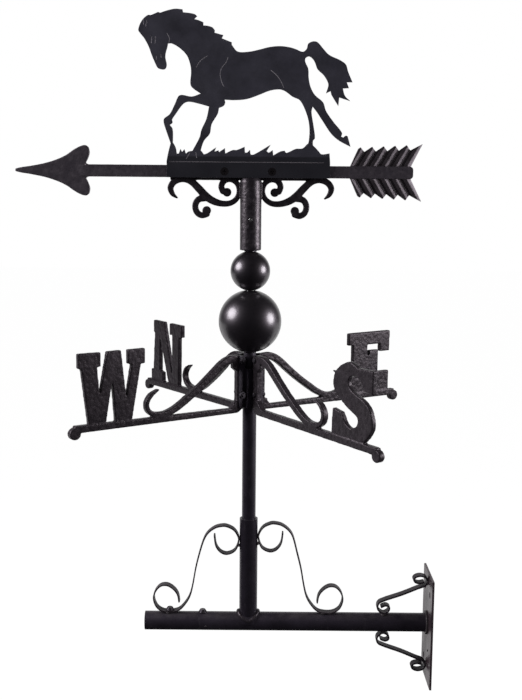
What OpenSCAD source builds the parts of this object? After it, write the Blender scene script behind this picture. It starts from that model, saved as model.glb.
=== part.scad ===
// Horse weathervane on a wall bracket. Millimetres, +Z up.
// The origin is the centre of the wall plate's back face. +X points into the
// wall, +Y away from the side that is looked at, and the mast stands at -X.

/* [Wall plate] */
// Width of the wall plate
plate_w = 80; // [60:1:90]
// Height of the wall plate
plate_h = 156; // [150:1:190]
// Thickness of the wall plate
plate_t = 3; // [2:0.5:6]
// Diameter of the four fixing holes
hole_d = 9; // [5:0.5:10]
// Spacing of the fixing holes across the plate
hole_pitch_y = 40; // [36:1:44]
// Spacing of the fixing holes up the plate
hole_pitch_z = 104; // [90:1:130]
// Height of the bracket tube's axis above the plate's centre
tube_rise = 5; // [0:1:10]

/* [Bracket tube] */
// Distance from the wall to the mast's axis
reach = 255; // [240:1:300]
// Length of the tube beyond the mast's axis
free_l = 145; // [138:1:180]
// Outside diameter of the bracket tube
tube_od = 26; // [24:0.5:30]
// Wall of the bracket tube
tube_wall = 2.5; // [1.5:0.5:4]
// Thickness of the disc that closes the tube's free end
cap_t = 3; // [2:0.5:6]
// Size of the weld beads round the tube and the sleeve
weld = 3; // [1.5:0.5:4]

/* [Mast sleeve] */
// Outside diameter of the sleeve that holds the mast
sleeve_od = 25; // [24:0.5:27]
// Height of the sleeve's top above the tube's axis
sleeve_top = 150; // [146:1:180]
// Diameter of the screw that clamps the mast in the sleeve
clamp_d = 8; // [5:1:10]
// Height of the clamp screw above the tube's axis
clamp_z = 75; // [50:1:130]

/* [Scrollwork of the bracket] */
// Thickness of the bent strips beside the sleeve
strip_t = 2; // [1.5:0.25:3]
// Width of the bent strips beside the sleeve
strip_w = 12; // [8:1:18]
// Distance from the mast's axis to where a scroll stands on the tube
scroll_foot = 110; // [104:1:118]
// Height at which the left scroll touches the sleeve
left_touch = 118; // [110:1:124]
// Height at which the right scroll touches the sleeve
right_touch = 122; // [110:1:126]
// Thickness of the strip in the small scrolls by the wall
brace_t = 2.5; // [1.5:0.25:3]
// Width of the strip in the small scrolls by the wall
brace_w = 12; // [8:1:16]
// Distance from the mast's axis to where the small scrolls touch the tube
brace_foot = 190; // [184:1:196]
// Height above the tube's axis at which the small scrolls leave the plate
brace_head = 53; // [48:1:56]

/* [Bolts on the tube] */
// Diameter of the bolts on top of the tube
bolt_d = 6; // [4:0.5:8]
// Distance from the mast's axis to the bolt that stands free on the tube
bolt_reach = 64; // [50:1:80]

/* [Mast] */
// Outside diameter of the mast tube
mast_od = 19; // [17:0.5:20]
// Wall of the mast tube
mast_wall = 2; // [1.5:0.25:3]
// Height of the mast's top end above the tube's axis
mast_top = 362; // [340:1:390]
// Width across the flats of the square hub on the mast
hub_w = 25; // [24:0.5:30]
// Height of the hub
hub_h = 53; // [50:1:70]
// Clearance between the mast and what turns or slides on it
slide_gap = 0.3; // [0.1:0.05:0.5]

/* [Direction arms] */
// Turn of the east arm from the bracket tube, seen from above
arm_turn = 35.8; // [0:0.1:89]
// Distance from the mast's axis to the knob at an arm's end
arm_r = 264; // [258:1:300]
// Height of a rod's underside above the tube's axis
rod_z = 300; // [298:1:303]
// Height of the cast rod
rod_h = 8.8; // [7:0.1:12]
// Height of the east and west arms' rods at their root
root_h = 6.5; // [6:0.5:9]
// Length by which the north arm's rod is longer
north_extra = 8; // [0:1:10]
// Length by which the east arm's rod is shorter
east_less = 1; // [0:1:6]
// Fall of the east arm's rod, in degrees
east_fall = 0.4; // [0:0.1:2]
// Thickness of the cast rod
rod_w = 8; // [6:0.5:9]
// Radial depth of the arm's upright leg
leg_d = 10; // [8:0.5:13]
// Diameter of the round knob at the end of a rod
knob_d = 14.5; // [12:0.5:17]
// Depth of the knob's middle below the rod's underside
knob_drop = 1; // [0:0.5:3]
// Shift outwards of the open end of the north arm's hook
north_hook = 4.5; // [0:0.5:8]
// Shift outwards of the open end of the east arm's hook
east_hook = 4; // [0:0.5:8]
// Shift inwards of the open end of the west arm's hook
west_hook = 2; // [0:0.5:5]
// Height of the letters
letter_h = 90; // [70:1:100]
// Thickness of the letters
letter_t = 6; // [4:0.5:8]
// Distance from the mast's axis to the middle of a letter
letter_r = 214; // [212:1:218]
// Diameter of the screws that hold the arms to the hub
arm_screw_d = 5; // [4:0.5:6]
// Height of the arms' legs and the hub's lugs above the mast's end
leg_over = 18; // [16:1:24]
// Fall of the south arm's rod, in degrees
south_fall = 1.6; // [0:0.1:2.5]
// Rise of the west arm's rod, in degrees
west_rise = 0.8; // [0:0.1:2]
// Thickness of the lugs on the hub
lug_t = 3; // [2:0.5:5]

/* [Spindle and balls] */
// Diameter of the spindle
spindle_d = 12; // [10:0.5:12]
// Outside diameter of the spacers that show between the balls
spacer_d = 17; // [15:0.5:20]
// Length of the lower spacer, between the mast and the large ball
spacer_l = 21.5; // [16:0.5:40]
// Diameter of the large ball
large_d = 85; // [60:1:110]
// Diameter of the small ball
small_d = 53.5; // [40:0.5:70]
// Wall of the hollow balls
ball_wall = 2; // [1:0.5:4]
// Height of the neck between the small ball and the vane
neck_h = 2; // [1.5:0.5:10]
// Diameter of the bearing ball on the spindle's end
bearing_d = 10; // [8:0.5:10]
// Running clearance between the spindle and the vane
run_gap = 0.3; // [0.1:0.05:0.5]

/* [Vane stem and bracket casting] */
// Outside diameter of the stem
stem_d = 28; // [24:0.5:34]
// Length of the stem, up to the horse sheet
stem_l = 95.5; // [80:0.5:110]
// Height of the retaining screw above the stem's lower end
keeper_z = 40.5; // [25:0.5:50]
// Diameter of the retaining screw
keeper_d = 5; // [4:0.5:6]
// Thickness of the cast scrolls
casting_t = 8; // [6:0.5:10]
// Height of the rail behind the arrow
rail_h = 17; // [14:0.5:20]
// Thickness of the rail behind the arrow
rail_t = 5; // [4:0.5:8]

/* [Arrow] */
// Distance from the mast's axis to the arrow's point
point_r = 312; // [300:1:340]
// Distance from the mast's axis to the tail's last tip
tail_r = 228; // [224:1:240]
// Height of the arrow's shaft
shaft_h = 16; // [12:0.5:17]
// Thickness of the arrow's shaft
shaft_t = 8; // [6:0.5:9]
// Length of the arrow head
head_l = 96; // [80:1:110]
// Height of the arrow head
head_h = 66; // [50:1:80]
// Thickness of the arrow head
head_t = 6; // [4:0.5:8]
// Number of barbs on each side of the tail
barbs = 6; // [3:1:8]
// Distance between one barb and the next
barb_pitch = 15.2; // [14:0.1:16]
// Height of the tail's flights above the shaft's middle
flight_h = 33; // [26:1:40]
// Thickness of the flights at their ridges
flight_t = 7.5; // [5:0.5:8]

/* [Horse sheet] */
// Length of the sheet's straight base
sheet_l = 216; // [212:1:230]
// Height of the sheet's straight base
base_h = 21; // [19:0.5:24]
// Thickness of the sheet
sheet_t = 3; // [2:0.5:4]
// Shift of the sheet from the mast's axis, towards the tail
sheet_shift = -3.5; // [-5:0.5:0]
// Height of the horse above the base
horse_h = 195; // [188:1:200]
// Distance between the two screws through the sheet
screw_pitch = 63; // [50:1:80]
// Diameter of the screws through the sheet
sheet_screw_d = 6; // [4:0.5:6]
// Diameter of their countersunk heads
sheet_head_d = 11; // [9:0.5:12]
// Depth of the engraved lines
engrave_d = 0.4; // [0.2:0.1:0.8]
// Width of the engraved lines
engrave_w = 1; // [0.6:0.1:1.4]

/* [Hidden] */

$fn = 48;
// Segments between two points of a smooth outline
STEPS = 4;
// Third value of an outline point that is a sharp corner
CORNER = 1;
// Small overlap that makes two solids of one casting join
JOIN = 0.5;
// Clearance between pieces that sit against each other
SEAT = 0.1;

tube_r = tube_od / 2;
sleeve_r = sleeve_od / 2;
mast_r = mast_od / 2;
plate_face = reach - plate_t;
sleeve_bore_r = mast_r + slide_gap;
hub_z = mast_top - hub_h;
hub_half = hub_w / 2;
spindle_r = spindle_d / 2;
spindle_hole_r = spindle_r + SEAT;
bore_r = spindle_r + run_gap;
stem_r = stem_d / 2;
// Height of a ball above its middle at the rim of its hole, where the next piece sits
function rim(d) = sqrt(d * d / 4 - spindle_hole_r * spindle_hole_r);
large_z = mast_top + spacer_l + rim(large_d);
small_z = large_z + rim(large_d) + rim(small_d) + SEAT;
neck_z = small_z + rim(small_d);
stem_z = neck_z + neck_h;
pad_t = 4;
pad_z = stem_l - 14;
plug_l = hub_h - 8;
keeper_groove = 1.5;
shaft_lap = 12;
sheet_nut_w = sheet_screw_d * 5 / 3;
sheet_nut_h = sheet_screw_d * 5 / 6;
sheet_head_depth = (sheet_head_d - sheet_screw_d) / 2;
bearing_z = pad_z - pad_t - bearing_d / 2 - SEAT;
sheet_z = stem_l;
// Middle of the arrow's shaft, which lies just above the stem
shaft_mid = sheet_z + shaft_h / 2 + 2 * SEAT;
sheet_left = sheet_shift - sheet_l / 2;
sheet_right = sheet_shift + sheet_l / 2;
screw_x = [sheet_shift - screw_pitch / 2, sheet_shift + screw_pitch / 2];
front_y = -shaft_t / 2;
sheet_y = front_y - SEAT - sheet_t;
rail_y = shaft_t / 2 + SEAT;
leg_screw_z = [mast_top - 0.66 * hub_h, mast_top + 0.67 * leg_over];

// Points, lines and bent strips

function flat_point(p) = [p[0], p[1]];
function is_corner(p) = len(p) > 2 && p[2] == CORNER;
// Direction of a smooth line at b, between a and c, scaled to the stretch that starts or ends there
function bend(a, b, c, stretch) =
    (flat_point(c) - flat_point(a)) * stretch
    / (norm(flat_point(b) - flat_point(a)) + norm(flat_point(c) - flat_point(b)));
function between(p, dp, q, dq, t) =
    p * (2 * t * t * t - 3 * t * t + 1) + dp * (t * t * t - 2 * t * t + t)
    + q * (3 * t * t - 2 * t * t * t) + dq * (t * t * t - t * t);
// Closed outline through points, smooth except at its corners
function outline(points) = [
    for (i = [0 : len(points) - 1])
        let (
            n = len(points),
            a = points[(i + n - 1) % n],
            b = points[i],
            c = points[(i + 1) % n],
            d = points[(i + 2) % n],
            chord = flat_point(c) - flat_point(b),
            leave = is_corner(b) ? chord : bend(a, b, c, norm(chord)),
            arrive = is_corner(c) ? chord : bend(b, c, d, norm(chord)),
            count = is_corner(b) && is_corner(c) ? 1 : STEPS
        )
        for (k = [0 : count - 1])
            between(flat_point(b), leave, flat_point(c), arrive, k / count)
];
// Open smooth line through points, each with the width of the band there as its third value
function line(points, steps) = [
    for (i = [0 : len(points) - 2])
        let (
            last = len(points) - 1,
            b = points[i],
            c = points[i + 1],
            chord = flat_point(c) - flat_point(b),
            leave = i == 0 ? chord : bend(points[i - 1], b, c, norm(chord)),
            arrive = i + 1 == last ? chord : bend(b, c, points[min(i + 2, last)], norm(chord)),
            final = i + 1 == last ? steps : steps - 1
        )
        for (k = [0 : final])
            let (t = k / steps, p = between(flat_point(b), leave, flat_point(c), arrive, t))
            [p[0], p[1], b[2] + (c[2] - b[2]) * t]
];
// The two edges of the band along a line
function edge(path, side) = [
    for (i = [0 : len(path) - 1])
        let (
            before = flat_point(path[max(i - 1, 0)]),
            after = flat_point(path[min(i + 1, len(path) - 1)]),
            way = (after - before) / norm(after - before)
        )
        [path[i][0] - way[1] * side * path[i][2] / 2, path[i][1] + way[0] * side * path[i][2] / 2]
];
function reversed(list) = [for (i = [len(list) - 1 : -1 : 0]) list[i]];
function with_width(points, w) = [for (p = points) [p[0], p[1], w]];
function shifted(points, dx, dz) = [for (p = points) [p[0] + dx, p[1] + dz, p[2]]];
function mirrored(points) = [for (p = points) [-p[0], p[1], p[2]]];

// Rounded end of a band, from the edge on its left round to the edge on its right
function round_end(p, from) =
    let (way = flat_point(p) - flat_point(from), start = atan2(way[1], way[0]))
    [for (a = [60 : -30 : -60]) flat_point(p) + [cos(start + a), sin(start + a)] * p[2] / 2];
module band(points, steps = STEPS) {
    path = line(points, steps);
    polygon(concat(edge(path, 1), reversed(edge(path, -1))));
}
module round_band(points, steps = STEPS) {
    path = line(points, steps);
    last = len(path) - 1;
    polygon(concat(
        edge(path, 1), round_end(path[last], path[last - 1]),
        reversed(edge(path, -1)), round_end(path[0], path[1])
    ));
}
// A side view of the given thickness, standing upright with its near face at y
module upright(y, thickness) {
    translate([0, y + thickness, 0])
        rotate([90, 0, 0])
            linear_extrude(thickness)
                children();
}
module along_x(x, length, r) {
    translate([x, 0, 0]) rotate([0, 90, 0]) cylinder(h = length, r = r);
}
module along_y(x, y, z, length, r) {
    translate([x, y, z]) rotate([-90, 0, 0]) cylinder(h = length, r = r);
}
module hexagon_head(across, h) {
    cylinder(h = h, d = across / cos(30), $fn = 6);
}
// Puts pieces that are drawn from the mast's axis and the tube's axis in their place
module at_mast() {
    translate([-reach, 0, tube_rise]) children();
}
module at_vane() {
    at_mast() translate([0, 0, stem_z]) children();
}
module at_arm(turn) {
    at_mast() rotate([0, 0, turn]) children();
}

// Bracket

module wall_plate() {
    color("#2b2829")
    difference() {
        translate([-plate_t, -plate_w / 2, -plate_h / 2]) cube([plate_t, plate_w, plate_h]);
        for (y = [-1, 1])
            for (z = [-1, 1])
                translate([0, y * hole_pitch_y / 2, z * hole_pitch_z / 2])
                    along_x(-plate_t - 1, plate_t + 2, hole_d / 2);
    }
}
module bracket_tube() {
    color("#1c1b1e")
    at_mast()
    difference() {
        union() {
            along_x(-free_l, free_l + plate_face, tube_r);
            translate([plate_face - weld, 0, 0])
                rotate([0, 90, 0])
                    cylinder(h = weld, r1 = tube_r, r2 = tube_r + weld);
        }
        along_x(-free_l - 1, free_l + plate_face - plate_t + 1, tube_r - tube_wall);
        for (x = [scroll_foot, bolt_reach])
            translate([-x, 0, 0]) cylinder(h = tube_od, r = bolt_d / 2 + SEAT);
    }
}
module tube_end_disc() {
    color("#1c1b1e")
    at_mast() along_x(-free_l, cap_t, tube_r - tube_wall - SEAT);
}
module mast_sleeve() {
    color("#1c1b1e")
    at_mast()
    difference() {
        union() {
            cylinder(h = sleeve_top, r = sleeve_r);
            intersection() {
                cylinder(h = tube_od, r = sleeve_r + weld);
                along_x(-tube_od, 2 * tube_od, tube_r + weld);
            }
        }
        along_x(-tube_od, 2 * tube_od, tube_r + SEAT);
        cylinder(h = sleeve_top + 1, r = sleeve_bore_r);
        along_y(0, 0, clamp_z, sleeve_od, clamp_d / 2 + SEAT);
    }
}
// A screw with a hexagon head that clamps the mast from behind
module sleeve_clamp_screw() {
    head_h = clamp_d * 0.65;
    color("#3a383b")
    at_mast() {
        along_y(0, mast_r + 2 * SEAT, clamp_z, sleeve_r - mast_r + JOIN, clamp_d / 2);
        translate([0, sleeve_r + SEAT, clamp_z])
            rotate([-90, 0, 0])
                hexagon_head(clamp_d * 1.6, head_h);
    }
}
// Path of the big scroll on the mast's right side: tip, curl on the sleeve, sweep, curl on the tube
function scroll_path(touch) =
    let (x = sleeve_r + SEAT + strip_t / 2, foot = scroll_foot, z = tube_r + SEAT + strip_t / 2)
    [
        [x + 34, touch + 8],
        [x + 31.5, touch - 7.5],
        [x + 24.7, touch - 16.4],
        [x + 15.8, touch - 18.9],
        [x + 5, touch - 13.4],
        [x, touch],
        [x + 1.5, touch + 8],
        [x + 7.2, touch + 16.2],
        [x + 17, touch + 21],
        [x + 23, touch + 21.4],
        [x + 32.6, touch + 19],
        [x + 42.3, touch + 11.8],
        [x + 48, touch + 2.7],
        [foot - 42.5, 102.5],
        [foot - 36.5, 78],
        [foot - 32.5, 55],
        [foot - 28.6, z + 24.8],
        [foot - 22.6, z + 13.4],
        [foot - 12.8, z + 3],
        [foot, z],
        [foot + 11, z + 1.6],
        [foot + 18.8, z + 7.9],
        [foot + 22.6, z + 20.2],
        [foot + 19.6, z + 30.5],
        [foot + 12.7, z + 37.8],
        [foot + 3.8, z + 38.9],
        [foot - 5, z + 33.8],
        [foot - 11, z + 25.6],
        [foot - 13.2, z + 14.3]
    ];
module big_scroll(side, touch) {
    path = with_width(scroll_path(touch), strip_t);
    upright(-strip_w / 2, strip_w) band(side > 0 ? path : mirrored(path));
}
module left_scroll() {
    color("#232023")
    at_mast()
    difference() {
        big_scroll(-1, left_touch);
        translate([-scroll_foot, 0, 0]) cylinder(h = tube_od, r = bolt_d / 2 + SEAT);
    }
}
module right_scroll() {
    color("#232023")
    at_mast() big_scroll(1, right_touch);
}

// Bolt with a low round head, standing on the tube's top
module dome_bolt(x, seat_z) {
    head_h = 4;
    below = 4;
    length = seat_z - tube_r + tube_wall + below;
    at_mast()
    translate([-x, 0, seat_z + SEAT]) {
        cylinder(h = head_h, r1 = bolt_d, r2 = 0.6 * bolt_d);
        translate([0, 0, -length]) cylinder(h = length + 1, r = bolt_d / 2);
    }
}
module scroll_bolt() {
    strip_curve = 1;
    color("#3a383b") dome_bolt(scroll_foot, tube_r + strip_t + strip_curve);
}
module tube_bolt() {
    color("#3a383b") dome_bolt(bolt_reach, tube_r);
}
// Path of a small scroll: curl on the plate, straight stay, bend and open curl on the tube
function wall_scroll_path() =
    let (
        wall_x = plate_face - SEAT - brace_t / 2,
        foot_z = tube_r + SEAT + brace_t / 2,
        foot = brace_foot
    )
    [
        [wall_x - 4.5, brace_head + 7.5],
        [wall_x - 11, brace_head + 6],
        [wall_x - 17, brace_head + 7.5],
        [wall_x - 19, brace_head + 11.5],
        [wall_x - 16, brace_head + 15],
        [wall_x - 9.5, brace_head + 16.5],
        [wall_x - 2.5, brace_head + 14],
        [wall_x, brace_head + 8],
        [wall_x - 3, brace_head + 2.5],
        [wall_x - 13, brace_head - 1.5],
        [(wall_x + foot) / 2 - 4, (brace_head + foot_z + 17.5) / 2],
        [foot - 4, foot_z + 17],
        [foot - 8, foot_z + 12.5],
        [foot - 7.5, foot_z + 5.5],
        [foot, foot_z],
        [foot + 7, foot_z + 3.5],
        [foot + 8, foot_z + 9],
        [foot + 3.5, foot_z + 11.5],
        [foot - 1.5, foot_z + 10],
        [foot - 3.5, foot_z + 8.5]
    ];
module wall_scroll() {
    upright(-brace_w / 2, brace_w) band(with_width(wall_scroll_path(), brace_t));
}
module upper_wall_scroll() {
    color("#2f2b2e")
    at_mast() wall_scroll();
}
module lower_wall_scroll() {
    color("#2f2b2e")
    at_mast() mirror([0, 0, 1]) wall_scroll();
}

// Mast and its hub

module mast_tube() {
    color("#1c1b1e")
    at_mast()
    difference() {
        translate([0, 0, tube_r + SEAT]) cylinder(h = mast_top - tube_r - SEAT, r = mast_r);
        translate([0, 0, tube_r - 1]) cylinder(h = mast_top, r = mast_r - mast_wall);
    }
}
// Bush in the mast's top end that holds the spindle
module mast_plug() {
    color("#3a383b")
    at_mast()
    translate([0, 0, mast_top - plug_l])
    difference() {
        cylinder(h = plug_l, r = mast_r - mast_wall - SEAT);
        translate([0, 0, -1]) cylinder(h = plug_l + 2, r = spindle_hole_r);
    }
}
// Square block with an upright lug beside each arm
module hub() {
    lug_y = rod_w / 2 + SEAT;
    lug_w = leg_d - 1;
    color("#1c1b1e")
    at_mast()
    difference() {
        union() {
            rotate([0, 0, arm_turn])
                translate([-hub_half, -hub_half, hub_z]) cube([hub_w, hub_w, hub_h]);
            for (i = [0 : 3])
                rotate([0, 0, arm_turn + 90 * i]) {
                    translate([hub_half - JOIN, lug_y, hub_z])
                        cube([lug_w + JOIN, lug_t, hub_h]);
                    translate([hub_half, lug_y, mast_top - JOIN])
                        cube([lug_w, lug_t, leg_over + JOIN]);
                }
        }
        translate([0, 0, hub_z - 1]) cylinder(h = hub_h + 2, r = mast_r + SEAT);
        for (i = [0 : 3])
            for (z = leg_screw_z)
                rotate([0, 0, arm_turn + 90 * i])
                    along_y(hub_half + leg_d / 2, 0, z, 2 * rod_w, arm_screw_d / 2 + SEAT);
    }
}

// Direction arms, drawn with x outwards from the mast

leg_x = hub_half + SEAT;
rod_top = rod_z + rod_h;
leg_top = mast_top + leg_over;
corner_r = 1.3 * leg_d;
// Brace from the leg's top down to the rod, ending in an open hook in front of the letter. It is
// drawn as distance from the leg's root, height above the rod's underside, and width, on a grid
// for one length of arm and one height of leg. The points after HOOK_ROOT make the hook.
ARM_GRID = 251.4;
LEG_GRID = 80;
HOOK_ROOT = 8;
BRACE = [
    [4, 76, 8], [20, 76, 9.5], [34, 69.5, 9.5], [52, 55, 9], [70, 41, 8.5], [89, 28, 8.5],
    [104, 18.5, 8], [120, 12, 7.5], [136, 12, 6.5], [147.5, 18, 5.5], [150.5, 28, 5],
    [145, 38, 4.5], [134.5, 44.5, 1.5]
];
function brace_path(slope, hook) =
    let (
        out = (arm_r - leg_x) / ARM_GRID,
        up = (leg_top - rod_z) / LEG_GRID,
        last_drop = 120,
        tip = len(BRACE) - 1
    )
    [for (i = [0 : tip])
        let (p = BRACE[i], share = max(i - HOOK_ROOT, 0) / (tip - HOOK_ROOT))
        [
            leg_x + p[0] * out + hook * share,
            rod_z + p[1] * up + tan(slope) * out * min(p[0], last_drop),
            p[2] * out
        ]
    ];
// Side view of an arm; its rod rises by slope degrees from the rounded foot of the leg, is longer
// by extra, and has its hook's end further out by hook
module arm_side(slope, root, extra, hook) {
    gusset = 1.1 * leg_d;
    lug_l = 1.65 * leg_d;
    root_z = rod_top - root;
    rise = tan(slope);
    start = leg_x + corner_r - 1;
    finish = arm_r + extra;
    polygon([
        [leg_x, root_z + corner_r], [leg_x, leg_top], [leg_x + lug_l, leg_top],
        [leg_x + lug_l, mast_top + 2], [leg_x + leg_d, mast_top - 3], [leg_x + leg_d, rod_top + gusset],
        [leg_x + leg_d + gusset, rod_top - 1], [start, rod_top - 1]
    ]);
    intersection() {
        translate([leg_x + corner_r, root_z + corner_r]) circle(corner_r);
        translate([leg_x - 1, root_z - 1]) square(corner_r + 3);
    }
    polygon([
        [start, root_z], [start, rod_top + rise * corner_r],
        [finish, rod_top + rise * (finish - leg_x)],
        [finish, rod_top - rod_h + rise * (finish - leg_x)]
    ]);
    translate([finish, rod_z - knob_drop + rise * (finish - leg_x)]) circle(d = knob_d);
    round_band(brace_path(slope, hook));
}
// Letters stand on the rod; they are drawn as they read, from the middle of their foot, on a
// height of LETTER_GRID
LETTER_GRID = 90;
N_SHAPE = [
    [-46.5, 0], [-46.5, 17], [-40.5, 17], [-35.5, 74], [-38.5, 76], [-38.5, 93.5], [-9, 93], [14.5, 12],
    [15.5, 76], [8.5, 76], [8.5, 93], [42, 92.5], [42, 75], [34.5, 74], [32.5, 0], [4.5, 0],
    [-20.5, 70], [-22, 17], [-13, 15], [-13, 0]
];
E_SHAPE = [
    [-38, 0], [-38, 27], [-32, 27], [-32, 71.5], [-40, 71.5], [-40, 89], [38, 89.5], [38, 59.5],
    [20, 59.5], [20, 71], [-5, 71], [-5, 55], [-1, 55], [-1, 62], [16, 62], [16, 29.5],
    [37.5, 29.5], [37.5, 0]
];
// Closed gap below the E's middle bar
E_COUNTER = [[-5, 16], [-5, 34], [-1, 34], [-1, 28], [11, 28], [11, 16]];
W_SHAPE = [
    [-31, 0], [-41, 70.5], [-45.5, 72], [-45.5, 90], [-15, 90], [-15, 73], [-20, 72], [-16, 35],
    [-5.5, 90.5], [13.5, 91], [21.5, 28], [29, 72], [24, 73.5], [24, 91], [48, 91.5], [48, 72.5],
    [42, 72], [29.5, 0], [6.5, 0], [1.5, 55], [-7.5, 0]
];
S_SHAPE = [
    [-34, 0, CORNER], [-33, 33.5, CORNER], [-17, 31, CORNER], [-14, 27], [-8, 18.5], [1, 14.5],
    [8, 16.5], [12.5, 19.5], [14.5, 26], [12, 31], [3.5, 35], [-7.5, 40], [-16.5, 45.5], [-28, 53],
    [-33, 61.5], [-33.5, 69], [-31, 78.5], [-23, 87], [-12.5, 93], [-4, 95.5], [2, 94],
    [11.5, 90, CORNER], [39, 91, CORNER], [39, 62, CORNER], [23, 65, CORNER], [18, 74], [8, 79.5],
    [-2, 78], [-6, 71], [-3, 64], [7, 58], [23, 52.5], [34, 44.5], [39.5, 33.5], [41, 22.5],
    [35.5, 11.5], [25, 0, CORNER]
];
// A letter; a flipped one reads from the arm's other side
module letter(flipped, slope) {
    k = letter_h / LETTER_GRID;
    upright(-letter_t / 2, letter_t)
        translate([letter_r, rod_top + tan(slope) * (letter_r - leg_x) - JOIN])
            rotate([0, 0, slope])
                scale(k)
                    mirror([flipped ? 1 : 0, 0])
                        children();
}
module arm_body(slope, root, extra = 0, hook = 0) {
    difference() {
        upright(-rod_w / 2, rod_w) arm_side(slope, root, extra, hook);
        for (z = leg_screw_z)
            along_y(leg_x - SEAT + leg_d / 2, -rod_w, z, 2 * rod_w, arm_screw_d / 2 + SEAT);
    }
}
module north_arm() {
    color("#252225")
    at_arm(arm_turn + 90) {
        arm_body(0, rod_h, north_extra, north_hook);
        letter(true, 0) polygon(N_SHAPE);
    }
}
module east_arm() {
    color("#252225")
    at_arm(arm_turn) {
        arm_body(-east_fall, root_h, -east_less, east_hook);
        letter(false, -east_fall)
            difference() {
                polygon(E_SHAPE);
                polygon(E_COUNTER);
            }
    }
}
module south_arm() {
    color("#252225")
    at_arm(arm_turn - 90) {
        arm_body(-south_fall, rod_h);
        letter(false, -south_fall) polygon(outline(S_SHAPE));
    }
}
module west_arm() {
    color("#252225")
    at_arm(arm_turn + 180) {
        arm_body(west_rise, root_h, 0, -west_hook);
        letter(true, west_rise) polygon(W_SHAPE);
    }
}
module each_arm_screw() {
    for (i = [0 : 3])
        for (z = leg_screw_z)
            at_arm(arm_turn + 90 * i)
                translate([hub_half + leg_d / 2, 0, z])
                    rotate([-90, 0, 0])
                        children();
}
module arm_screws() {
    head_h = 2.5;
    near = -rod_w / 2 - SEAT;
    color("#3a383b")
    each_arm_screw() {
        translate([0, 0, near - head_h])
            cylinder(h = head_h, r1 = 0.55 * arm_screw_d, r2 = 0.85 * arm_screw_d);
        translate([0, 0, near - JOIN]) cylinder(h = rod_w + lug_t + 6, r = arm_screw_d / 2);
    }
}
module arm_nuts() {
    color("#3a383b")
    each_arm_screw()
        translate([0, 0, rod_w / 2 + lug_t + 2 * SEAT])
            difference() {
                hexagon_head(1.7 * arm_screw_d, 0.7 * arm_screw_d);
                translate([0, 0, -1]) cylinder(h = arm_screw_d + 2, r = arm_screw_d / 2 + SEAT);
            }
}

// Spindle with its balls

module spindle() {
    foot_gap = 2;
    seat_depth = 3;
    foot = mast_top - plug_l + foot_gap;
    top = stem_z + bearing_z - seat_depth;
    color("#5a585a")
    at_mast()
    difference() {
        translate([0, 0, foot]) cylinder(h = top - foot, r = spindle_r);
        translate([0, 0, stem_z + keeper_z - keeper_d])
            difference() {
                cylinder(h = 2 * keeper_d, r = spindle_r + 1);
                translate([0, 0, -1]) cylinder(h = 2 * keeper_d + 2, r = spindle_r - keeper_groove);
            }
        translate([0, 0, stem_z + bearing_z]) sphere(d = bearing_d + SEAT);
    }
}
module tube_piece(z, h, r_out, r_in) {
    translate([0, 0, z])
    difference() {
        cylinder(h = h, r = r_out);
        translate([0, 0, -1]) cylinder(h = h + 2, r = r_in);
    }
}
module lower_spacer() {
    color("#1c1b1e")
    at_mast() tube_piece(mast_top + SEAT, spacer_l - 2 * SEAT, spacer_d / 2, spindle_hole_r);
}
module hollow_ball(z, d) {
    translate([0, 0, z])
    difference() {
        sphere(d = d);
        sphere(d = d - 2 * ball_wall);
        translate([0, 0, -d]) cylinder(h = 2 * d, r = spindle_hole_r);
    }
}
module large_ball() {
    color("#1b1c20")
    at_mast() hollow_ball(large_z, large_d);
}
module small_ball() {
    color("#1b1c20")
    at_mast() hollow_ball(small_z, small_d);
}
module neck_spacer() {
    color("#1c1b1e")
    at_mast() tube_piece(neck_z + SEAT, neck_h - run_gap - SEAT, spacer_d / 2, spindle_hole_r);
}
module bearing_ball() {
    color("#8a898c")
    at_vane() translate([0, 0, bearing_z]) sphere(d = bearing_d);
}

// Vane: stem with the scrolls and the rail cast on it

// Left half of the scrolls: hook under the sheet, main sweep and the ring beside the stem
function sweep_path() = [
    [-98.5, -27, 1.5],
    [-104.5, -22, 5.5],
    [-107.3, -13.5, 7.5],
    [-102, -5.5, 8],
    [-91, -2, 8],
    [-80, -5, 8.5],
    [-70, -14, 9.5],
    [-60, -24.5, 10],
    [-50, -31, 9],
    [-38, -34.3, 7.5],
    [-27, -33.3, 7],
    [-19, -27.5, 6.5],
    [-15.5, -18, 6.5],
    [-18, -8, 6.5],
    [-26, -2.2, 7],
    [-35, -3.5, 7.5],
    [-39.5, -11, 7.5],
    [-37.5, -18, 7.5]
];
function drop_path() = [
    [-60, -27, 8],
    [-70, -29, 8],
    [-74.3, -37, 7.5],
    [-72, -46, 7.5],
    [-65.5, -50, 7.5],
    [-58.5, -48.5, 7]
];
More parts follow.
